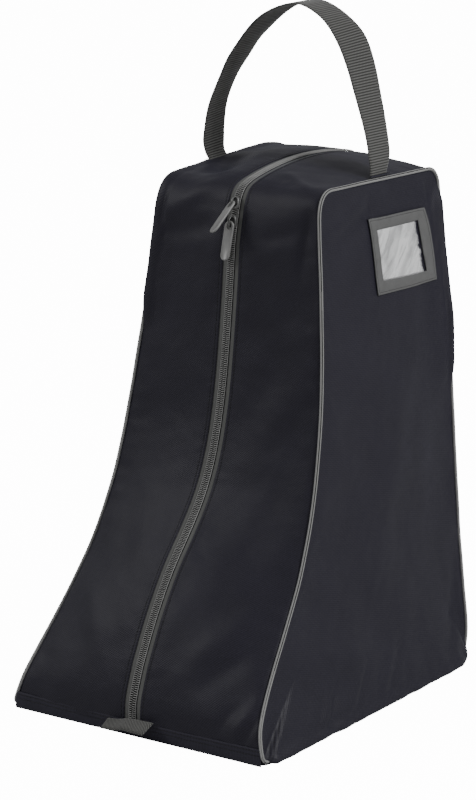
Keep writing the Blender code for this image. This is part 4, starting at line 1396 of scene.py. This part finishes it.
def hard_piece(name, rows, mats, slider):
    """Tube with rounded edges that rides on a slider; a second material, if given, paints its recess
    near-black as shade.
    """
    verts, faces = [], []
    add_tube(verts, faces, rows)
    first, last = RECESS_FROM * len(rows[0]), len(faces) - 2
    dark = [len(mats) - 1 if k >= first and k != last else 0 for k in range(len(faces))]
    obj = solid(name, verts, faces, mats, mat_index=dark)
    modifier = obj.modifiers.new("round", "SUBSURF")
    modifier.levels = modifier.render_levels = 1
    hang(obj, slider, "slider_metal")
    return obj


def slider_pieces(name, s):
    """Body with a recessed face, and its arched bail."""
    seat = strip_point(s, 0.0, COIL_PROUD + 0.0007)
    out = gusset_normal(s)
    along = Vector((0, -out.z, out.y))

    def at(x, a, h):
        return seat + Vector((x, 0, 0)) + along * a + out * h

    rows = []
    for grow, h in BODY_RINGS:
        row = []
        for a in around(BODY_STEPS):
            broad = (BODY_HALF + 0.0006 * sin(a)) * (1 - 0.10 * cos(2 * a))
            row.append(at(broad * grow * cos(a), BODY_LONG * grow * sin(a), h))
        rows.append(row)
    body = hard_piece("slider_body_" + name, rows, [SLIDER, RECESS], name + "_slider")
    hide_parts("slider_" + name)
    # Bail: a flat wire bent over the body.
    profile = [Vector((-BAIL_LONG * cos(a) * (1 + 0.12 * sin(a)), BAIL_FOOT + BAIL_RISE * sin(a) ** 0.75))
               for a in spread(0.0, pi, 20)]
    rows = []
    for k, spot in enumerate(profile):
        run = (profile[min(k + 1, len(profile) - 1)] - profile[max(k - 1, 0)]).normalized()
        row = []
        for a in around(10):
            wire = spot + Vector((-run.y, run.x)) * (BAIL_WIRE * sin(a))
            row.append(at(BAIL_BROAD * cos(a), wire.x, wire.y))
        rows.append(row)
    hard_piece("slider_bail_" + name, rows, [SLIDER], name + "_slider")


slider_pieces("lower", LOWER_AT)
slider_pieces("upper", UPPER_AT)

PULL_LEN = 0.0360
PULL_HALF = 0.0049
PULL_THICK = 0.0022
PULL_START = -0.0009      # the tab starts this far before its cross bar
SLOT_HALF = 0.0023
SLOT_START = 0.0008
SLOT_LEN = 0.0062
# Play of each puller on its bail: twist about its length, sink below the CAD's lie (both
# in degrees) and lean to the side (as a slope).
PULL_PLAY = {"lower": (0.0, 0.0, -0.08), "upper": (20.0, 13.0, -0.16)}


# The tab's section as (inset, height in thicknesses): round its rim, then down its slot.
PULL_RIM = ((0.0007, -0.5), (0.0002, -0.40), (0.0, -0.20), (0.0, 0.20), (0.0002, 0.40), (0.0007, 0.5),
            (0.0014, 0.5), (0.0017, 0.38))
PULL_SLOT = ((-0.0009, 0.38), (-0.0006, 0.48), (0.0, 0.30), (0.0, -0.30), (-0.0005, -0.5))


def stadium(start, length, half, inset):
    """Outline with round ends as (x, run); inset shrinks it on all sides."""
    r = half - inset
    round_steps, straight_steps = 14, 10
    top, low = start + half, start + length - half
    points = [(r * cos(a), top - r * sin(a)) for a in spread(0, pi, round_steps)]
    points += [(-r, run) for run in spread(top, low, straight_steps)[1:]]
    points += [(r * cos(a), low - r * sin(a)) for a in spread(pi, 2 * pi, round_steps)[1:]]
    points += [(r, run) for run in spread(low, top, straight_steps)[1:-1]]
    return points


def puller_piece(name):
    """Flat tab with rounded edges and a slot at its top; its lie comes from the CAD."""
    joint = next(j for j in frame["joints"] if j["name"] == name + "_pull")
    hinge = Vector(joint["pos_m"])
    low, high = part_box("puller_" + name)
    down = (low + high) / 2 - hinge
    down.x = 0
    down.normalize()
    face = Vector((0, down.z, -down.y))
    if (face.z if abs(face.z) >= abs(face.y) else -face.y) < 0:
        face = -face
    twist, sink, aside = PULL_PLAY[name]
    down, face = turned(down, face, -sink)
    across, face = turned(Vector((1, 0, 0)), face, twist)
    down = (down + Vector((aside, 0, 0))).normalized()
    rings = [(stadium(PULL_START, PULL_LEN, PULL_HALF, inset), h) for inset, h in PULL_RIM]
    rings += [(stadium(SLOT_START, SLOT_LEN, SLOT_HALF, inset), h) for inset, h in PULL_SLOT]
    layers = [[hinge + across * x + down * run + face * (PULL_THICK * h) for x, run in spots]
              for spots, h in rings]
    obj = solid("puller_tab_" + name, flat(layers), grid(layers, wrap_rows=True, wrap_columns=True),
                [PULLER])
    hang(obj, name + "_puller", "puller_metal", "puller_" + name)


puller_piece("lower")
puller_piece("upper")


# ---- carried CAD nodes
for cad, mat in (("base_panel", CLOTH), ("base_board", BOARD)):
    obj = frame["nodes"][cad]
    for slot in obj.material_slots:
        slot.material = mat
    if not obj.data.uv_layers:
        obj.data.uv_layers.new(name="UVMap")
    layer = obj.data.uv_layers[0]
    for loop in obj.data.loops:
        point = obj.data.vertices[loop.vertex_index].co
        layer.data[loop.index].uv = (point.x, point.y)


# ---- floor, light, camera
FLOOR_GLOW = 14.0
BACKDROP = 14.0           # brightness of the world where it is seen
FILL = 0.34               # and where it only lights
floor_mat, floor_tree, floor_shader = new_material("floor", 0.85, specular=0.1)
floor_tone = clouds(floor_tree, coordinates(floor_tree)[-1], 3.0)
two_tone(floor_tree, floor_shader, (0.60, 0.60, 0.60), (0.62, 0.62, 0.62), floor_tone)
# Seen straight, the floor glows as white as the backdrop; it lights the bag as a plain one.
floor_seen = node(floor_tree, "ShaderNodeLightPath")
glow = calc(floor_tree, "MULTIPLY", floor_seen.outputs["Is Camera Ray"], FLOOR_GLOW)
floor_tree.links.new(glow, floor_shader.inputs["Emission Strength"])
floor_shader.inputs["Emission Color"].default_value = (1, 1, 1, 1)
floor = make("floor", [(-6, -6, 0), (6, -6, 0), (6, 6, 0), (-6, 6, 0)], [(0, 1, 2, 3)], [floor_mat],
             shade=False, lean=False)
floor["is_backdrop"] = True

world = bpy.data.worlds.new("studio")
world.use_nodes = True
background = world.node_tree.nodes["Background"]
background.inputs["Color"].default_value = (1.0, 1.0, 1.0, 1)
world_seen = node(world.node_tree, "ShaderNodeLightPath")
strength = calc(world.node_tree, "MULTIPLY_ADD", world_seen.outputs["Is Camera Ray"],
                BACKDROP - FILL, FILL)
world.node_tree.links.new(strength, background.inputs["Strength"])
bpy.context.scene.world = world


def aimed(name, data, place, way):
    """Puts a light or the camera in its place, looking along a direction."""
    obj = bpy.data.objects.new(name, data)
    obj.location = place
    obj.rotation_mode = "QUATERNION"
    obj.rotation_quaternion = way.to_track_quat("-Z", "Y")
    bpy.context.scene.collection.objects.link(obj)
    return obj


LIT_POINT = Vector((0, 0, 0.25))
for name, place, size, power in (("top_light", Vector((0.3, 0.6, 2.4)), (1.6, 1.2), 2),
                                 ("left_light", Vector((-1.8, -1.5, 1.9)), (1.0, 1.2), 23),
                                 ("right_light", Vector((2.2, 0.2, 1.7)), (0.8, 1.2), 42)):
    light = bpy.data.lights.new(name, "AREA")
    light.shape = "RECTANGLE"
    light.size, light.size_y = size
    light.energy = power
    aimed(name, light, place, LIT_POINT - place)

AZIMUTH = radians(35.22)
ELEVATION = radians(14.0)
CAMERA_AWAY = 3.0046
LOOK_AT = Vector((-0.0060, -0.0090, 0.2743))
camera_data = bpy.data.cameras.new("camera")
camera_data.lens = 148.3
camera_data.sensor_width = 36
back_way = Vector((sin(AZIMUTH) * cos(ELEVATION), -cos(AZIMUTH) * cos(ELEVATION), sin(ELEVATION)))
camera = aimed("camera", camera_data, LOOK_AT + back_way * CAMERA_AWAY, -back_way)
bpy.context.scene.camera = camera

low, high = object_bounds()
